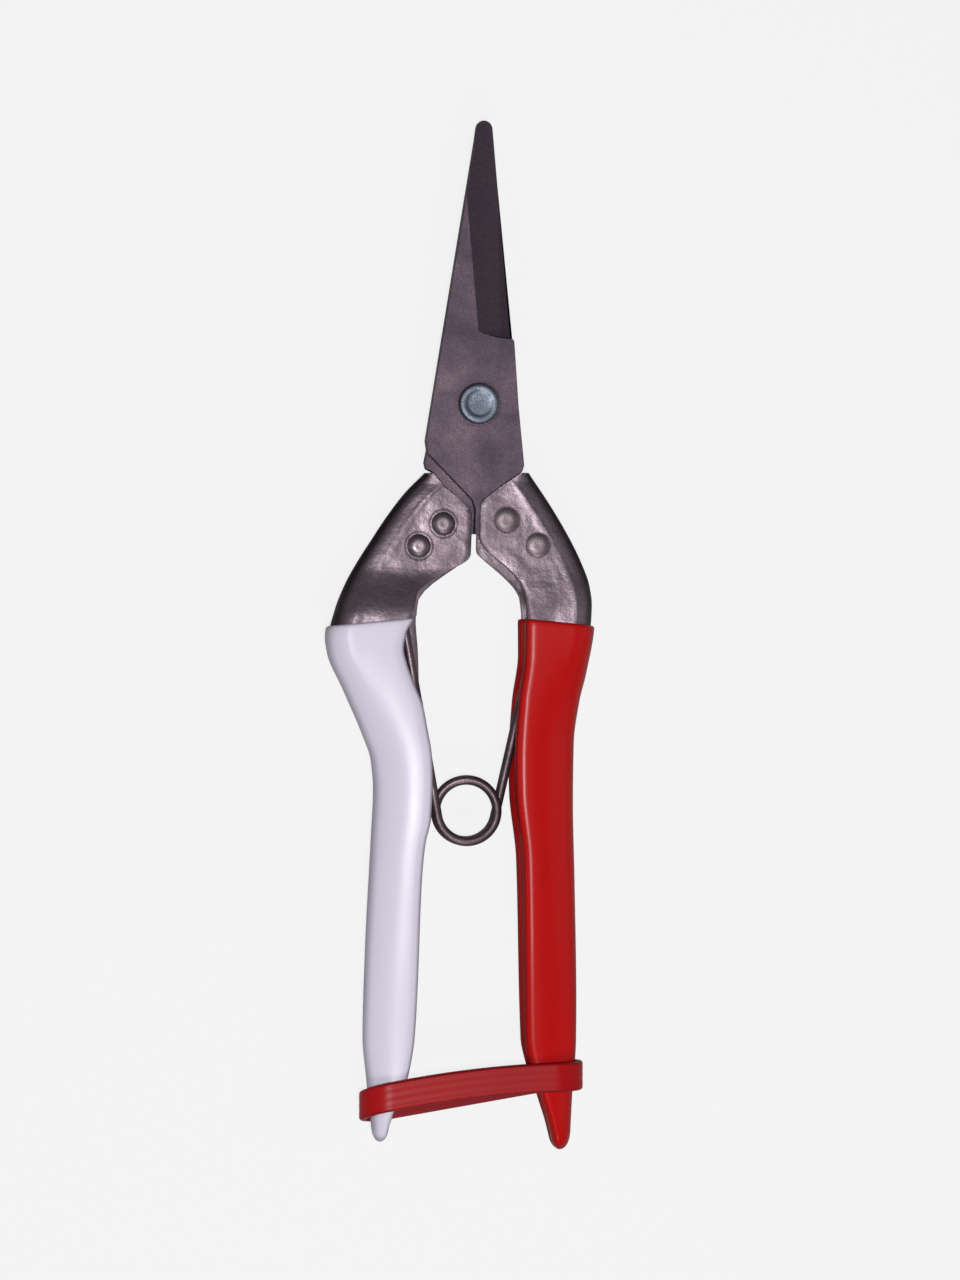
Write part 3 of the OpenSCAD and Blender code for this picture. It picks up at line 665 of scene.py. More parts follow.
@dataclass
class Handle:
    """A pressed steel channel with its dipped grip.

    Its section is a U lying on its side: two flanges over a web that is half an ellipse.
    """

    outline: Outline
    levels: Levels
    blade_t: float = 2.4
    sheet_t: float = 1.2
    web_w: float = 3.6
    channel_half: float = 4.3
    channel_half_low: float = 2.8
    clamp_end: float = 29.0
    step_len: float = 9.5
    coat_t: float = 0.7
    metal_short: float = 2.6
    crest_rise: float = 0.13
    rim_slant: float = 0.1
    tip_round: float = 3.4
    crown_line: float = 0.14
    crown_power: float = 2.05
    hidden_thin: float = 0.5
    scallop: float = 0.0
    scallop_len: float = 30.0
    crown_len: float = 25.0
    middle: float = 15.0
    plan: RingPlan = RingPlan()

    @property
    def word(self) -> str:
        """The side as piece names have it."""
        return self.outline.side.name.lower()

    @property
    def tang_back(self) -> float:
        """Back face of the tang that this handle clamps."""
        return self.levels.front if self.outline.side is Side.RIGHT else self.levels.back

    def opened(self, y: Array) -> Array:
        """From 0 where the channel is clamped on the tang to 1 where it is full depth."""
        late = 1 if self.outline.side is Side.LEFT else 0
        return smooth((-y - self.clamp_end - late) / self.step_len)

    def half_depth(self, y: Array) -> Array:
        """Half the depth of the open channel, sheet included."""
        full, low = self.channel_half, self.channel_half_low
        span = self.outline.reach - self.outline.grip_top
        shares = ((0.0, full), (0.26, full), (0.6, full + 0.4 * (low - full)), (0.83, low),
                  (0.94, low - 0.3), (1.0, low - 0.6))
        return Curve(tuple((-self.outline.grip_top - s * span, v) for s, v in shares))(y)

    def slant(self, y: Array) -> Array:
        """How much wider a wall looks along x where the outer edge slants."""
        edge = self.outline.outer_edge
        return np.sqrt(1 + (edge(y + 0.5) - edge(y - 0.5)) ** 2)

    def faces(self, y: Array) -> tuple[Array, Array]:
        """Front and back levels of the channel, sheet included."""
        o, h = self.opened(y), self.half_depth(np.minimum(y, -self.outline.grip_top))
        front = mix(self.tang_back + self.blade_t + self.sheet_t, self.levels.mid + h, o)
        back = mix(self.tang_back - self.sheet_t, self.levels.mid - h, o)
        return front, back

    def ring(self, y: Array, g: Array, corner: float, filled: Array, crown: float) -> Array:
        """The channel's rings.

        From the middle of the front flange's edge, the ring goes round the outside to the
        middle of the back flange's edge and returns inside, so that point i and point
        -1 - i face each other through the sheet. The outside of the web is half an
        ellipse, and with a crown the front and back are one falling curve
        (1 - s^p)^(1/2) of the share s of the way from the crown line to the outer edge.

        Args:
            y: heights, of shape (rings, points).
            g: how much the section is grown all round, of the same shape.
            corner: radius of the flange edges' corners, at most half the wall.
            filled: from 0 for an open mouth to 1 for a mouth filled to the edges.
            crown: from 0 for flat flanges to 1 for crowned ones.

        Returns:
            Points of shape (rings, points, 3).
        """
        p, half_n = self.plan, self.plan.half
        k, out = self.slant(y), self.outline.outer_edge(y)
        ef, eb = self.outline.front_edge(y), self.outline.back_edge(y)
        web = np.minimum(self.web_w * k, 0.8 * (out - np.minimum(ef, eb)))
        cx = out - web
        zf, zb = self.faces(y)
        zc, half = (zf + zb) / 2, (zf - zb) / 2
        inner_w = np.maximum(web - self.sheet_t * k, self.coat_t + 0.3) - g
        inner_h = np.maximum(half - self.sheet_t, self.coat_t + 0.3) - g
        big_h, big_w = half + g, web + g
        wall = (big_h - inner_h) / 2
        r = np.minimum(corner, 0.92 * wall)

        i = np.broadcast_to(np.arange(2 * half_n), y.shape)
        m = np.where(i < half_n, i, 2 * half_n - 1 - i)
        outside = i < half_n
        front = m < half_n / 2
        n = np.where(front, m, half_n - 1 - m)
        edge = np.minimum(np.where(front, ef, eb), cx - 0.3) - g
        turn = np.pi - (np.clip(n - 1, 0, p.lip - 1) / (p.lip - 1)) * np.pi / 2
        lip_x = np.where(n == 0, edge, edge + r + r * np.cos(turn))
        lip_z = np.where(n == 0, 0.0, wall - r + r * np.sin(turn))
        along = np.clip((n - p.lip + 1) / (p.flange + 1), 0, 1)
        on_flange = (n >= p.lip) & (n < p.lip + p.flange)
        a = np.pi / 2 - (m - p.lip - p.flange) * np.pi / (p.web - 1)
        on_web = n >= p.lip + p.flange
        arc_w, arc_h = np.where(outside, big_w, inner_w), np.where(outside, big_h, inner_h)
        x = np.where(on_web, cx + arc_w * np.cos(a), np.where(on_flange, mix(edge + r, cx, along), lip_x))
        rise = np.where(outside, inner_h + wall + lip_z, inner_h + wall - lip_z)
        flat = np.where(on_flange, np.where(outside, big_h, inner_h), rise)
        up = np.where(on_web, arc_h * np.sin(a), np.where(front, flat, -flat))

        top = mix(edge, out + g, self.crown_line)
        s = np.clip((x - top) / (out + g - top), 0, 1)
        fall = 1 - np.sqrt(np.clip(1 - s**self.crown_power, 0, 1))
        crowned = np.where(on_web, np.sign(np.sin(a)) * big_h * (1 - fall), up - np.sign(up) * big_h * fall)
        low_lip = 0.25 * np.clip((top - x) / np.maximum(top - edge, 0.1), 0, 1) ** 2
        crowned = crowned - np.sign(crowned) * np.where(on_web, 0, low_lip)
        up = np.where(outside, mix(up, crowned, crown), up)

        mouth = np.minimum(ef, eb) - g + 0.15
        x = np.where(outside, x, mix(x, mouth, filled))
        return np.stack([self.outline.side.value * x, y, zc + up], -1)

    def crest(self, points: Array) -> Array:
        """Raises the line where each flange turns into the web, and softly dents the flange.

        A ridge 1 mm wide, in the shape of a bell, follows the web's start; the dents are
        two slow waves across and along.
        """
        x = points[..., 0] * self.outline.side.value
        y = points[..., 1]
        line = self.outline.outer_edge(y) - self.web_w * self.slant(y)
        bell = np.exp(-(((x - line) / 0.5) ** 2))
        zf = self.faces(y)[0]
        near = np.clip(1 - np.abs(points[..., 2] - zf) / 0.4, 0, 1)
        wave = 0.05 * np.sin(x * 0.9 + y * 0.35) * np.sin(y * 0.55 - 1.0)
        ends = smooth((-y - 13.5) / 3) * (x < line + 2)
        moved = points.copy()
        moved[..., 2] += (self.crest_rise * bell + wave) * near * ends
        return moved

    def metal(self) -> bpy.types.Object:
        """The pressed channel, from its clamp to inside the grip's end."""
        end = self.outline.reach - self.metal_short
        y = np.concatenate([np.linspace(-12.7, -43, 170), np.linspace(-44.5, -end, 64)])
        grid_y = np.broadcast_to(y[:, None], (len(y), 2 * self.plan.half))
        covered = -grid_y - self.outline.grip_top - 0.8 - self.rim_drop() * 1.05
        thin = -self.hidden_thin * smooth(covered / 2.4)
        points = self.crest(self.ring(grid_y, thin, 0.26, np.zeros_like(grid_y), 0.0))
        return grid_piece(f"{self.word}_handle_steel", points, Cap.PAIRS, self.masks(points), sharp=40)

    def rim_drop(self) -> Array:
        """How far below the grip's top its rim lies at each point of a ring.

        It is the scallop's depth at the back flange's edge, and falls in a smooth step to
        nothing where that flange meets the web.
        """
        p = self.plan
        i = np.arange(2 * p.half)
        from_back = p.half - 1 - np.where(i < p.half, i, 2 * p.half - 1 - i)
        return self.scallop * (1 - smooth(from_back / (p.lip + p.flange)))

    def masks(self, points: Array) -> dict[str, Array]:
        """Painted shade on the outer wall, where it shows, and where the flange edges are."""
        x, y = points[..., 0] * self.outline.side.value, points[..., 1]
        out = self.outline.outer_edge(y)
        # The wall mask is painted shade on the outer wall.
        wall = smooth((x - out + self.web_w * 0.62) / (self.web_w * 0.5))
        near = np.minimum(np.abs(x - self.outline.front_edge(y)), np.abs(x - self.outline.back_edge(y)))
        return {"wall": wall, "edge": np.clip(1 - near / 0.5, 0, 1)}

    def grip(self) -> bpy.types.Object:
        """The dipped grip: one closed skin that starts inside the sheet and ends in a nose.

        The first rings swell from within the sheet to the coat's thickness along a quarter
        circle, which is its rim. The mouth fills over the last stretch, and the last rings
        shrink by (1 - u^2)^(1/2) to the tip.
        """
        top, tip, t = self.outline.grip_top, self.outline.reach, self.coat_t
        nose = tip - self.tip_round
        swell = np.linspace(0, np.pi / 2, 7)
        rim_y = -top - 0.75 * t * (1 - np.cos(swell))
        body = np.concatenate([np.linspace(-top - 1.2, -62, 90), np.linspace(-62.7, -nose, 120)])
        u = np.sin(np.linspace(0, np.pi / 2, 13)[1:]) * 0.995
        y = np.concatenate([[-top + 0.02], rim_y, body, -nose - self.tip_round * u])
        g = np.concatenate([[-0.08], mix(0.02, t, np.sin(swell)), np.full(len(body) + len(u), t)])
        shape = (len(y), 2 * self.plan.half)
        down = np.broadcast_to(-y[:, None] - top, shape)
        grid_y = -top - down - self.rim_drop() * (1 - smooth(down / self.scallop_len))
        grid_g = np.broadcast_to(g[:, None], shape)
        filled = smooth((-grid_y - (tip - 7.5)) / 5.5)
        crown = smooth(down / self.crown_len)
        level_y = np.maximum(grid_y, -nose - 0.6)
        points = self.ring(level_y, grid_g, 9.0, filled, crown)
        fading = np.exp(-np.clip(down, 0, None) / 6)
        slanted = (self.middle - np.abs(points[..., 0])) * self.rim_slant * fading
        points = self.ring(np.minimum(level_y + slanted, 1.2 - top), grid_g, 9.0, filled, crown)
        shrink = np.concatenate([np.ones(len(y) - len(u)), np.sqrt(1 - u**2)])[:, None]
        last = points[-1]
        mid = np.array([(last[:, 0].min() + last[:, 0].max()) / 2, 0, self.levels.mid])
        for axis in (0, 2):
            points[..., axis] = mid[axis] + (points[..., axis] - mid[axis]) * shrink
        points[..., 1] = np.where(grid_y < -nose, grid_y, points[..., 1])
        x = points[..., 0] * self.outline.side.value
        out, inn = self.outline.outer_edge(points[..., 1]), self.outline.front_edge(points[..., 1])
        # The grip's edge mask is painted shade: on the outer wall, on the inner side, just below the rim
        # and over the nose.
        rim = 0.3 * np.exp(-np.clip(down, 0, None) / 0.35)
        wall = smooth((x - out + 0.7) / 1.6) * 0.55 + smooth((inn + 0.2 - x) / 1.2) * 0.8
        capped = 0.5 * smooth((-points[..., 1] - tip + 1.6) / 1.2)
        masks = {"edge": np.clip(wall + rim + capped, 0, 1)}
        return grid_piece(f"{self.word}_grip_coat", points, Cap.PAIRS, masks, sharp=60)

    def build(self, steel: bpy.types.Material, vinyl: bpy.types.Material, slot: str) -> None:
        """Makes both pieces, dresses them, and lets them ride on their half.

        Args:
            steel: the handle's finish.
            vinyl: the grip's finish.
            slot: a slot name for the grip; it is not used.
        """
        body = f"{self.word}_half"
        for piece, node, finish, place in (
            (self.metal(), f"{self.word}_handle", steel, "handle_steel"),
            (self.grip(), f"{self.word}_grip", vinyl, slot),
        ):
            piece.data.materials.append(finish)
            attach(piece, body)
            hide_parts(node)
            log.info("%s stands for %s", piece.name, node)


# ---------------------------------------------------------------- blades and pivot


@dataclass
class Blades:
    """The two blades: their exact solids, with softened edges and three finishes."""

    levels: Levels
    soften: float = 0.14
    grind_start: float = 11.0
    holes: tuple[tuple[float, float, float], ...] = (
        (0.0, 0.0, 5.2), (5.1, -21.4, 1.8), (10.9, -26.0, 1.8), (-6.4, -22.1, 1.8),
        (-10.95, -26.2, 1.8), (12.41, -37.84, 1.6), (-14.38, -37.14, 1.6))
    stamp_box: tuple[float, float, float, float] = (-3.0, -14.5, 3.0, -5.5)

    def in_stamp(self, x: float, y: float) -> bool:
        """Whether a point is in the stamp's part of the front blade."""
        x0, y0, x1, y1 = self.stamp_box
        return x0 < x < x1 and y0 < y < y1

    def plain_spot(self, x: float, y: float) -> bool:
        """Whether a point is clear of every hole and of the stamp."""
        clear = all(math.hypot(x - hx, y - hy) > r for hx, hy, r in self.holes)
        return clear and not self.in_stamp(x, y)

    def blade(self, node: str, name: str, steels: Sequence[bpy.types.Material]) -> bpy.types.Object:
        """A merged copy of a blade's node whose outer edges are softened.

        Args:
            node: the frame's node.
            name: the new piece's name.
            steels: finish of the body, of the hollow grind and of the stamp's floor, darker as painted
                shade in the recess.

        Returns:
            The piece, with each face's finish set by where it lies and how it tilts.
        """
        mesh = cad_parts[node].data.copy()
        mesh.name = name
        made = bmesh.new()
        made.from_mesh(mesh)
        bmesh.ops.remove_doubles(made, verts=made.verts, dist=2e-6)
        bmesh.ops.dissolve_limit(
            made, angle_limit=math.radians(0.4), verts=made.verts, edges=made.edges)
        weight = made.edges.layers.float.get("bevel_weight_edge") or made.edges.layers.float.new(
            "bevel_weight_edge")
        for edge in made.edges:
            middle = (edge.verts[0].co + edge.verts[1].co) / 2 / MM
            sharp = len(edge.link_faces) == 2 and edge.calc_face_angle(0) > math.radians(35)
            wall = any(abs(f.normal.z) < 0.05 for f in edge.link_faces)
            if sharp and wall and edge.is_convex and self.plain_spot(middle.x, middle.y):
                edge[weight] = 1.0
        for face in made.faces:
            tilt = abs(face.normal.z)
            at = face.calc_center_median() / MM
            ground = 0.6 < tilt < 0.9995 and at.y > self.grind_start
            # Faces sunk in the stamp take the darker stamp finish, painted shade in the recess.
            sunk = self.in_stamp(at.x, at.y) and at.z < self.levels.front_top - 0.05
            face.material_index = 2 if sunk and node == "front_blade" and at.z > self.levels.front + 1 \
                else 1 if ground else 0
            face.smooth = True
        for edge in made.edges:
            tones = {face.material_index for face in edge.link_faces}
            edge.smooth = len(tones) == 1 and edge.calc_face_angle(0) < math.radians(28)
        made.to_mesh(mesh)
        made.free()
        mesh.materials.clear()
        for steel in steels:
            mesh.materials.append(steel)
        piece = bpy.data.objects.new(name, mesh)
        bpy.context.scene.collection.objects.link(piece)
        bevel = piece.modifiers.new("soft_edges", "BEVEL")
        bevel.width = self.soften * MM
        bevel.segments = 2
        bevel.limit_method = "WEIGHT"
        bevel.use_clamp_overlap = False
        bevel.harden_normals = True
        return piece

    def build(self, steels: Sequence[bpy.types.Material]) -> None:
        """Makes both blades."""
        for node, name, body in (
            ("front_blade", "front_blade_ground", "right_half"),
            ("back_blade", "back_blade_ground", "left_half"),
        ):
            piece = self.blade(node, name, steels)
            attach(piece, body)
            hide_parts(node)
            log.info("%s stands for %s", piece.name, node)


@dataclass
class Pivot:
    """The bolt, turned with a rounded rim and a shallow dished face, and its washer and nut."""

    levels: Levels
    bolt_d: float = 5.0
    head_d: float = 7.5
    head_h: float = 1.15
    recess_h: float = 0.6
    washer_d: float = 9.4
    washer_t: float = 0.4
    nut_h: float = 2.2
    nut_w: float = 8.0

    def bolt(self) -> bpy.types.Object:
        """Head, shank and chamfered end, as one profile."""
        seat = self.levels.front_top - self.recess_h
        top = self.levels.front_top + self.head_h
        r, s = self.head_d / 2, self.bolt_d / 2
        profile = rounded_profile([
            (0, 0.15, 0), (s - 0.3, 0.15, 0.1), (s, 0.45, 0.1), (s, seat, 0.02), (r, seat, 0.1),
            (r, top - 0.02, 0.62), (r - 1.15, top - 0.02, 0.3), (r - 1.6, top - 0.16, 0.25),
            (0, top - 0.2, 0)])
        return revolved("pivot_bolt_turned", profile, (0, 0))

    def washer(self) -> bpy.types.Object:
        """A flat ring with rounded edges: the profile is a rounded rectangle."""
        z0, z1, r, s = self.nut_h, self.nut_h + self.washer_t, self.washer_d / 2, self.bolt_d / 2 + 0.02
        corners = [(s, z0), (r, z0), (r, z1), (s, z1)]
        ring = []
        for number, (x, z) in enumerate(corners):
            a = np.radians(180 + 90 * number) + np.linspace(0, np.pi / 2, 4)
            cx, cz = x + (0.1 if x == s else -0.1), z + (0.1 if z == z0 else -0.1)
            ring.append(np.stack([cx + 0.1 * np.cos(a), cz + 0.1 * np.sin(a)], -1))
        section = np.concatenate(ring)
        turn = np.linspace(0, 2 * np.pi, 96, endpoint=False)[:, None]
        grid = np.stack([section[:, 0] * np.cos(turn), section[:, 0] * np.sin(turn),
                         np.broadcast_to(section[:, 1], (96, len(section)))], -1)
        return grid_piece("pivot_washer_ring", grid, Cap.LOOP)

    def nut(self) -> bpy.types.Object:
        """A hexagon nut, chamfered behind.

        Its outline's radius is half the width over the cosine of the angle from the nearest
        flat's middle. Where the chamfer's cone is nearer, the cone cuts it.
        """
        turn = np.linspace(0, 2 * np.pi, 180, endpoint=False)
        flat = self.nut_w / 2 / np.cos(turn % (np.pi / 3) - np.pi / 6)
        corner = self.nut_w / 2 / math.cos(math.pi / 6)
        z = np.concatenate([np.linspace(0, 0.45, 12), [self.nut_h - 0.1, self.nut_h]])
        cone = self.nut_w / 2 + (corner - self.nut_w / 2) * np.clip(z / 0.35, 0, 1)
        radius = np.minimum(flat[None, :], cone[:, None])
        radius[-1] -= 0.08
        radius[0] -= 0.05
        bore = self.bolt_d / 2 + 0.02
        inner_r = np.full((3, 180), bore)
        inner_r[0] += 0.3
        inner_r[2] += 0.35
        r = np.concatenate([radius, inner_r])
        zz = np.concatenate([z, [self.nut_h, self.nut_h - 0.3, 0.0]])
        grid = np.stack([r * np.cos(turn), r * np.sin(turn), np.broadcast_to(zz[:, None], r.shape)], -1)
        return grid_piece("pivot_nut_hex", grid, Cap.LOOP, sharp=25)

    def build(self, bright: bpy.types.Material, plain: bpy.types.Material) -> None:
        """Makes the three pieces, which all ride on the right half."""
        for piece, node, finish in (
            (self.bolt(), "pivot_bolt", bright),
            (self.washer(), "pivot_washer", plain),
            (self.nut(), "pivot_nut", plain),
        ):
            piece.data.materials.append(finish)
            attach(piece, "right_half")
            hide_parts(node)
            log.info("%s stands for %s", piece.name, node)


@dataclass
class Rivets:
    """Four rivets, each turned as one profile with a low head at both ends."""

    levels: Levels
    head_d: float = 4.4
    head_h: float = 0.95
    shank_d: float = 2.6
    sheet_t: float = 1.2
    blade_t: float = 2.4
    spots: tuple[tuple[str, float, float, bool], ...] = (
        ("right_rivet_upper", 5.1, -21.4, False), ("right_rivet_lower", 10.9, -26.0, False),
        ("left_rivet_upper", -6.4, -22.1, True), ("left_rivet_lower", -10.95, -26.2, True))

    def rivet(self, name: str, x: float, y: float, dimpled: bool) -> bpy.types.Object:
        """One rivet.

        Args:
            name: the frame's node that it stands for.
            x: place of its axis.
            y: place of its axis.
            dimpled: whether its head has a set mark in the middle.

        Returns:
            The piece. Its heads are domes, height h (1 - (r / R)^p), where p is 3.2 for a
            set mark's head and 2.4 for a plain one, with a soft bell taken out of the middle.
        """
        tang = self.levels.front if x > 0 else self.levels.back
        back, front = tang - self.sheet_t, tang + self.blade_t + self.sheet_t
        radius = self.head_d / 2
        r = radius * np.sin(np.linspace(0, np.pi / 2, 26))
        dome = self.head_h * (0.88 if dimpled else 0.5) * (1 - (r / radius) ** (3.2 if dimpled else 2.4))
        if dimpled:
            dome -= 0.12 * np.exp(-((r / 0.9) ** 2))
        else:
            dome -= 0.16 * np.exp(-((r / 1.2) ** 2))
        dome = np.minimum(dome, self.head_h)
        head = np.stack([r, dome + 0.02], -1)
        profile = np.concatenate([
            head * [1, -1] + [0, back], [[radius - 0.05, back], [self.shank_d / 2, back]],
            [[self.shank_d / 2, front], [radius - 0.05, front]], (head + [0, front])[::-1]])
        return revolved(f"{name}_set", profile, (x, y))

    def build(self, steel: bpy.types.Material) -> None:
        """Makes the four rivets, each on its own half."""
        for name, x, y, dimpled in self.spots:
            piece = self.rivet(name, x, y, dimpled)
            piece.data.materials.append(steel)
            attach(piece, "right_half" if x > 0 else "left_half")
            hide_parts(name)
            log.info("%s stands for %s", piece.name, name)


# ---------------------------------------------------------------- spring and strap


@dataclass
class Spring:
    """The torsion spring: one wire from hook to hook, over both its arms."""

    levels: Levels
    wire_d: float = 1.8
    coil_d: float = 9.5
    coil_reach: float = 75.0
    coil_lean: float = 1.5
    seat_w: float = 13.4
    turn_gap: float = 0.07
    sides: int = 20

    @property
    def coil(self) -> Array:
        """Centre of the coil."""
        a = math.radians(self.coil_lean)
        return -self.coil_reach * np.array([math.sin(a), math.cos(a)])

    def leg_z(self, side: Side) -> float:
        """Height of a leg, above or below the middle plane."""
        return self.levels.mid - side.value * 0.75 * (self.wire_d + self.turn_gap)

    def arm(self, side: Side) -> Array:
        """One arm's path from its hook to the crown of the coil.

        The hook stands upright in the tang, a quarter circle turns it into the leg, the
        leg runs straight to its tangent on the coil, and the coil turns at a steady climb
        to the crown, the point nearest the pivot.

        Args:
            side: the arm.

        Returns:
            Rows of x, y, z, heading and pitch, angles in radians.
        """
        s, a = side.value, math.radians(self.coil_lean)
        seat = self.coil / 2 + s * self.seat_w * np.array([math.cos(a), -math.sin(a)])
        radius = (self.coil_d + self.wire_d) / 2
        to_coil = self.coil - seat
        reach = float(np.hypot(*to_coil))
        heading = math.atan2(to_coil[1], to_coil[0]) + s * math.asin(radius / reach)
        ahead = np.array([math.cos(heading), math.sin(heading)])
        z, rise, bend = self.leg_z(side), -s, self.wire_d
        hook_z = self.levels.front + 1.8 if side is Side.RIGHT else self.levels.back + 0.6
        start = heading + s * math.pi / 2
        crown = math.atan2(-self.coil[1], -self.coil[0])
        turn = np.linspace(0, np.pi / 2, 10)
        elbow = np.column_stack([
            seat + ahead * bend * (1 - np.cos(turn))[:, None],
            z - rise * bend * (1 - np.sin(turn)), np.full(10, heading), rise * (np.pi / 2 - turn)])
        sweep = (s * (start - crown)) % (2 * math.pi)
        t = np.linspace(0, 1, 97)
        at = start - s * sweep * t
        coil = np.column_stack([
            self.coil + radius * np.stack([np.cos(at), np.sin(at)], -1),
            mix(z, self.levels.mid, t), at - s * np.pi / 2, np.zeros(len(t))])
        return np.concatenate([[[*seat, hook_z, heading, rise * np.pi / 2]], elbow, coil])

    def build(self, steel: bpy.types.Material) -> None:
        """Sweeps the wire's circle along both arms, joined at the coil's crown."""
        left, right = self.arm(Side.LEFT), self.arm(Side.RIGHT)[::-1][1:]
        right[:, 3] += np.pi
        right[:, 4] *= -1
        path = np.concatenate([left, right])
        h, q = path[:, 3], path[:, 4]
        across = np.stack([-np.sin(h), np.cos(h), np.zeros(len(h))], -1)
        up = np.stack([-np.sin(q) * np.cos(h), -np.sin(q) * np.sin(h), np.cos(q)], -1)
        turn = np.linspace(0, 2 * np.pi, self.sides, endpoint=False)[None, :, None]
        circle = across[:, None] * np.cos(turn) + up[:, None] * np.sin(turn)
        grid = path[:, None, :3] + self.wire_d / 2 * circle
        along = np.broadcast_to(np.linspace(0, 1, len(path))[:, None], grid.shape[:2])
        piece = grid_piece("torsion_spring", grid, Cap.POLES, {"along": along}, sharp=60)
        piece.data.materials.append(steel)
        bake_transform(piece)
        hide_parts("spring_left_arm", "spring_right_arm")
        log.info("%s stands for both spring arms", piece.name)


@dataclass
class Strap:
    """The closing strap: a moulded band with low ribs, once round both grips."""

    left: Handle
    right: Handle
    levels: Levels
    width: float = 5.4
    thick: float = 1.3
    gap: float = 0.1
    up: float = 13.8
    drop: float = 4.0
    drop_back: float = 6.2
    run_steps: int = 70
    arc_steps: int = 48

    @property
    def level(self) -> float:
        """Middle of the band on the right grip."""
        return -(self.right.outline.reach - self.up)

    def end(self, handle: Handle, low: bool) -> tuple[float, float, float]:
        """Centre and half sizes of the half ellipse round one grip."""
        top = self.level + self.width / 2 - (min(self.drop, self.drop_back) if low else 0)
        bottom = self.level - self.width / 2 - (max(self.drop, self.drop_back) if low else 0)
        edge = handle.outline.outer_edge
        out = max(float(edge(top)), float(edge(bottom)))
        grow = handle.coat_t + self.gap
        depth = float(handle.half_depth(np.array(top))) + grow
        return handle.outline.side.value * (out - handle.web_w), handle.web_w + grow, depth

    def path(self) -> Array:
        """Rows of x, y, z, outward x and outward z, once round the band's inner face.

        Straight in front, half an ellipse round the right grip, straight behind and half
        an ellipse round the left. The height falls with the square of the way from right
        to left in front and evenly behind.
        """
        rx, ra, rb = self.end(self.right, False)
        lx, la, lb = self.end(self.left, True)
        t = np.linspace(0, 1, self.run_steps + 1)[1:-1]
        a = np.linspace(np.pi / 2, -np.pi / 2, self.arc_steps)
        b = np.linspace(1.5 * np.pi, np.pi / 2, self.arc_steps)
        nil, one = np.zeros_like(t), np.ones_like(t)
        rows = np.concatenate([
            np.stack([mix(lx, rx, t), mix(lb, rb, t), nil, one, nil], -1),
            np.stack([rx + ra * np.cos(a), rb * np.sin(a), np.cos(a), np.sin(a), (1 - np.sin(a)) / 2], -1),
            np.stack([mix(rx, lx, t), -mix(rb, lb, t), nil, -one, one], -1),
            np.stack([lx + la * np.cos(b), lb * np.sin(b), np.cos(b), np.sin(b), (1 - np.sin(b)) / 2], -1)])
        v = np.clip((rx + ra - rows[:, 0]) / (rx + ra - lx + la), 0, 1)
        y = self.level - mix(self.drop * v * v, self.drop_back * v, rows[:, 4])
        return np.stack([rows[:, 0], y, self.levels.mid + rows[:, 1], rows[:, 2], rows[:, 3]], -1)

    def section(self) -> tuple[Array, Array]:
        """The band's section: outward and crosswise places of its points.

        A rectangle with round corners whose outer face has three faint ribs, a cosine wave
        0.02 mm high that fades towards the corners.
        """
        half, r = self.width / 2, 0.55
        v = np.linspace(-half + r, half - r, 29)
        rib = 0.01 * (np.cos(v / (half - r) * 3 * np.pi) - 1) * smooth((half - r - np.abs(v)) / 0.3)
        a = np.linspace(0, np.pi / 2, 6)[1:-1]
        out_c = self.thick - r + r * np.cos(a)
        side_c = half - r + r * np.sin(a)
        small = 0.2
        rise = [self.thick - r, small, 0.06, 0]
        outward = np.concatenate([self.thick + rib, out_c, rise, rise[::-1], out_c[::-1]])
        turn = np.array([half, half, half - 0.06, half - small])
        cross = np.concatenate([v, side_c, turn, -turn[::-1], -side_c[::-1]])
        return outward, cross

    def build(self, vinyl: bpy.types.Material) -> None:
        """Sweeps the section round the path."""
        path, (outward, cross) = self.path(), self.section()
        out = np.stack([path[:, 3], np.zeros(len(path)), path[:, 4]], -1)
        grid = path[:, None, :3] + outward[None, :, None] * out[:, None, :]
        grid[..., 1] += cross[None, :]
        # The band's rounded sides take painted shade through the edge mask.
        edge = np.broadcast_to(smooth((np.abs(cross) - self.width / 2 + 0.7) / 0.7), grid.shape[:2])
        piece = grid_piece("closing_strap_band", grid, Cap.LOOP, {"edge": edge * 0.6}, sharp=60)
        piece.data.materials.append(vinyl)
        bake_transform(piece)
        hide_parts("closing_strap")
        log.info("%s stands for the closing strap", piece.name)


# ---------------------------------------------------------------- studio


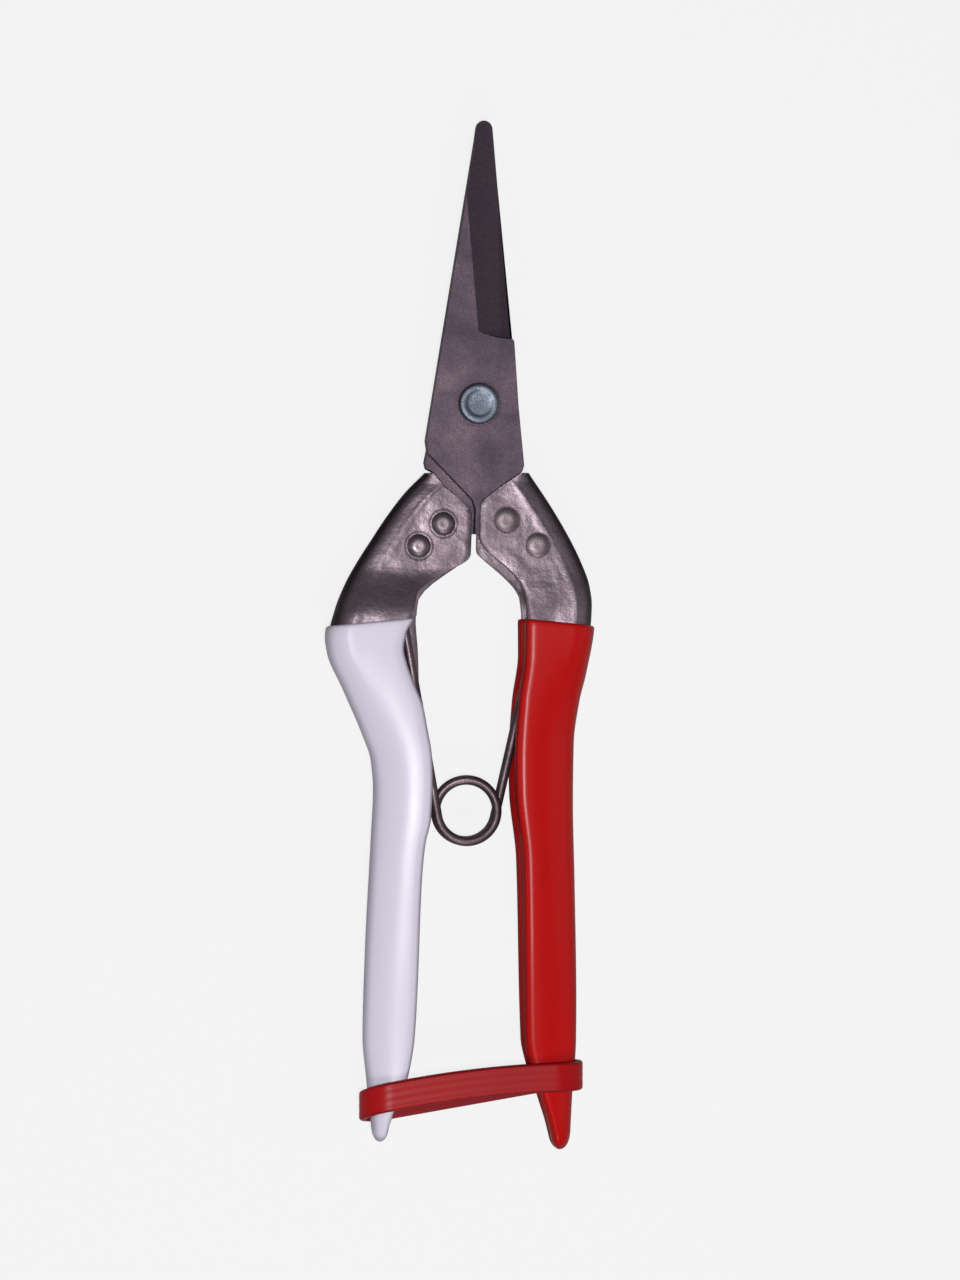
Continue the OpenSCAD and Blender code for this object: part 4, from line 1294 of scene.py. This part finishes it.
@dataclass
class Studio:
    """A pale floor, soft lights and the camera."""

    target: tuple[float, float, float] = (0.0, -43.5, 9.0)
    distance: float = 800.0
    tilt: float = 8.7
    view_height: float = 235.2
    sensor: float = 36.0
    floor_tone: str = "#f2f2f2"
    floor_glow: float = 0.92

    def camera(self) -> None:
        """Looks straight down, tilted a little about the tool's length."""
        data = bpy.data.cameras.new("camera")
        data.lens = self.sensor * self.distance / self.view_height
        data.sensor_width = self.sensor
        data.clip_start, data.clip_end = 0.05, 10.0
        camera = bpy.data.objects.new("camera", data)
        tilt = math.radians(self.tilt)
        back = Vector((-math.sin(tilt), 0.0, math.cos(tilt)))
        camera.location = (Vector(self.target) + back * self.distance) * MM
        camera.rotation_euler = (0.0, -tilt, 0.0)
        bpy.context.scene.collection.objects.link(camera)
        bpy.context.scene.camera = camera

    def floor(self) -> None:
        """A plain floor just under the nut, seen pale and bouncing less light than it shows."""
        size = 3000.0
        corners = np.array([[-size, -size, 0], [size, -size, 0], [size, size, 0], [-size, size, 0]], float)
        corners[:, 2] = -0.05
        floor = new_piece("studio_floor", corners, [[0, 1, 2, 3]])
        material = bpy.data.materials.new("studio_floor")
        material.use_nodes = True
        material.node_tree.nodes.clear()
        nodes = Nodes(material.node_tree)
        tone = rgba(self.floor_tone)
        seen = nodes.add("Emission", Color=tone, Strength=self.floor_glow)
        lit = nodes.add("BsdfDiffuse", Color=(0.5, 0.5, 0.5, 1.0))
        shadowed = nodes.add("BsdfDiffuse", Color=(0.1, 0.1, 0.1, 1.0))
        both = nodes.add("AddShader")
        nodes.put(both.inputs[0], seen.outputs[0])
        nodes.put(both.inputs[1], shadowed.outputs[0])
        split = nodes.add("MixShader")
        nodes.put(split.inputs[0], nodes.add("LightPath").outputs["Is Camera Ray"])
        nodes.put(split.inputs[1], lit.outputs[0])
        nodes.put(split.inputs[2], both.outputs[0])
        end = nodes.add("OutputMaterial")
        nodes.put(end.inputs["Surface"], split.outputs[0])
        floor.data.materials.append(material)

    def lights(self) -> None:
        """A soft key above, one beyond the grips, a strip on the left and a weak fill on the right."""
        self.area("key", (-88, -105, 800), (120, 120), 3.6)
        self.area("low", (60, -560, 520), (300, 160), 1.1)
        self.area("strip", (-620, -80, 420), (120, 700), 0.35)
        self.area("fill", (600, -60, 350), (300, 600), 0.3)
        world = bpy.data.worlds.new("studio")
        world.use_nodes = True
        world.node_tree.nodes["Background"].inputs[0].default_value = (0.8, 0.82, 0.88, 1.0)
        world.node_tree.nodes["Background"].inputs[1].default_value = 0.12
        bpy.context.scene.world = world

    def area(
        self, name: str, at: tuple[float, float, float], size: tuple[float, float], watts: float
    ) -> None:
        """A rectangular light that faces the tool's middle."""
        data = bpy.data.lights.new(name, "AREA")
        data.shape = "RECTANGLE"
        data.size, data.size_y, data.energy = size[0] * MM, size[1] * MM, watts
        light = bpy.data.objects.new(name, data)
        light.location = Vector(at) * MM
        light.rotation_mode = "QUATERNION"
        light.rotation_quaternion = (Vector(self.target) - Vector(at)).to_track_quat("-Z", "Y")
        bpy.context.scene.collection.objects.link(light)

    def build(self) -> None:
        """Sets up everything that isn't the tool."""
        self.camera()
        self.floor()
        self.lights()
        bpy.context.scene.view_settings.view_transform = "Standard"


# ---------------------------------------------------------------- the whole tool


def main() -> None:
    """Builds and dresses each sub-assembly in turn."""
    logging.basicConfig(level=logging.INFO, format="%(name)s: %(message)s")
    Studio().build()
    effects, levels = Effects(), Levels.from_frame()
    blade_body = Steel("blade_scale", "#62535c", "#564b58", "#8f868c", rough=(0.45, 0.6), speckle=0.3,
                       patch_scale=130, grain_depth=0.05, dark="#3a2c30")
    blade_grind = Steel("blade_hollow_grind", "#3e3233", "#342b2a", "#625a5c", rough=(0.4, 0.5),
                        patch_scale=60, grain_scale=2500, grain_stretch=(6.0, 0.3, 1.0))
    # The stamp's floor is darker as painted shade in its shallow recess.
    stamped = Steel("stamp_floor_painted_shade", "#2a2126", "#1d171b", "#3a3034", rough=(0.6, 0.7))
    # The sheet's outer wall and a ring round each rivet head are darkened to #241b1c as painted shade.
    channel = Steel("handle_sheet", "#8c7d86", "#74656e", "#c0b0b2", rough=(0.4, 0.54), patch_scale=150,
                    speckle=0.2, edge_mask="edge", painted_shade_mask="wall", dark="#241b1c", dents=0.5,
                    rings=((5.1, -21.4, 2.3), (10.9, -26.0, 2.2), (-6.4, -22.1, 2.6), (-10.95, -26.2, 2.6)))
    rivet = Steel("rivet_heads", "#8d7f82", "#75686e", "#d8d0d0", rough=(0.36, 0.5), patch_scale=300)
    bright = Steel("pivot_plated", "#767d88", "#5c6370", "#dce2ec", rough=(0.34, 0.48), patch_scale=420,
                   speckle=0.25)
    plain = Steel("nut_plated", "#98989e", "#7e7e86", "#c8c8d0", rough=(0.28, 0.45), patch_scale=200)
    wire = Steel("spring_wire", "#75646a", "#584b50", "#a0969a", rough=(0.38, 0.48), patch_scale=160)
    # Each vinyl's third tone is painted shade along its edges.
    red = Vinyl("red_dipped_vinyl", "#c4100e", "#b00e0c", "#5c1012", gloss=0.18)
    white = Vinyl("white_dipped_vinyl", "#e2dcec", "#d8d0e2", "#786e82", rough=(0.28, 0.38))
    strap_red = Vinyl("strap_vinyl", "#ac0f14", "#940d12", "#58101a", rough=(0.3, 0.42), gloss=0.15)

    left = Handle(LEFT_OUTLINE, levels, scallop=16.0, middle=20.3)
    right = Handle(RIGHT_OUTLINE, levels)
    sheet = channel.material(effects)
    left.build(sheet, white.material(effects), "white_vinyl")
    right.build(sheet, red.material(effects), "red_vinyl")
    Blades(levels).build([steel.material(effects) for steel in (blade_body, blade_grind, stamped)])
    Pivot(levels).build(bright.material(effects), plain.material(effects))
    Rivets(levels).build(rivet.material(effects))
    Spring(levels).build(wire.material(effects))
    Strap(left, right, levels).build(strap_red.material(effects))


if __name__ == "__main__":
    main()
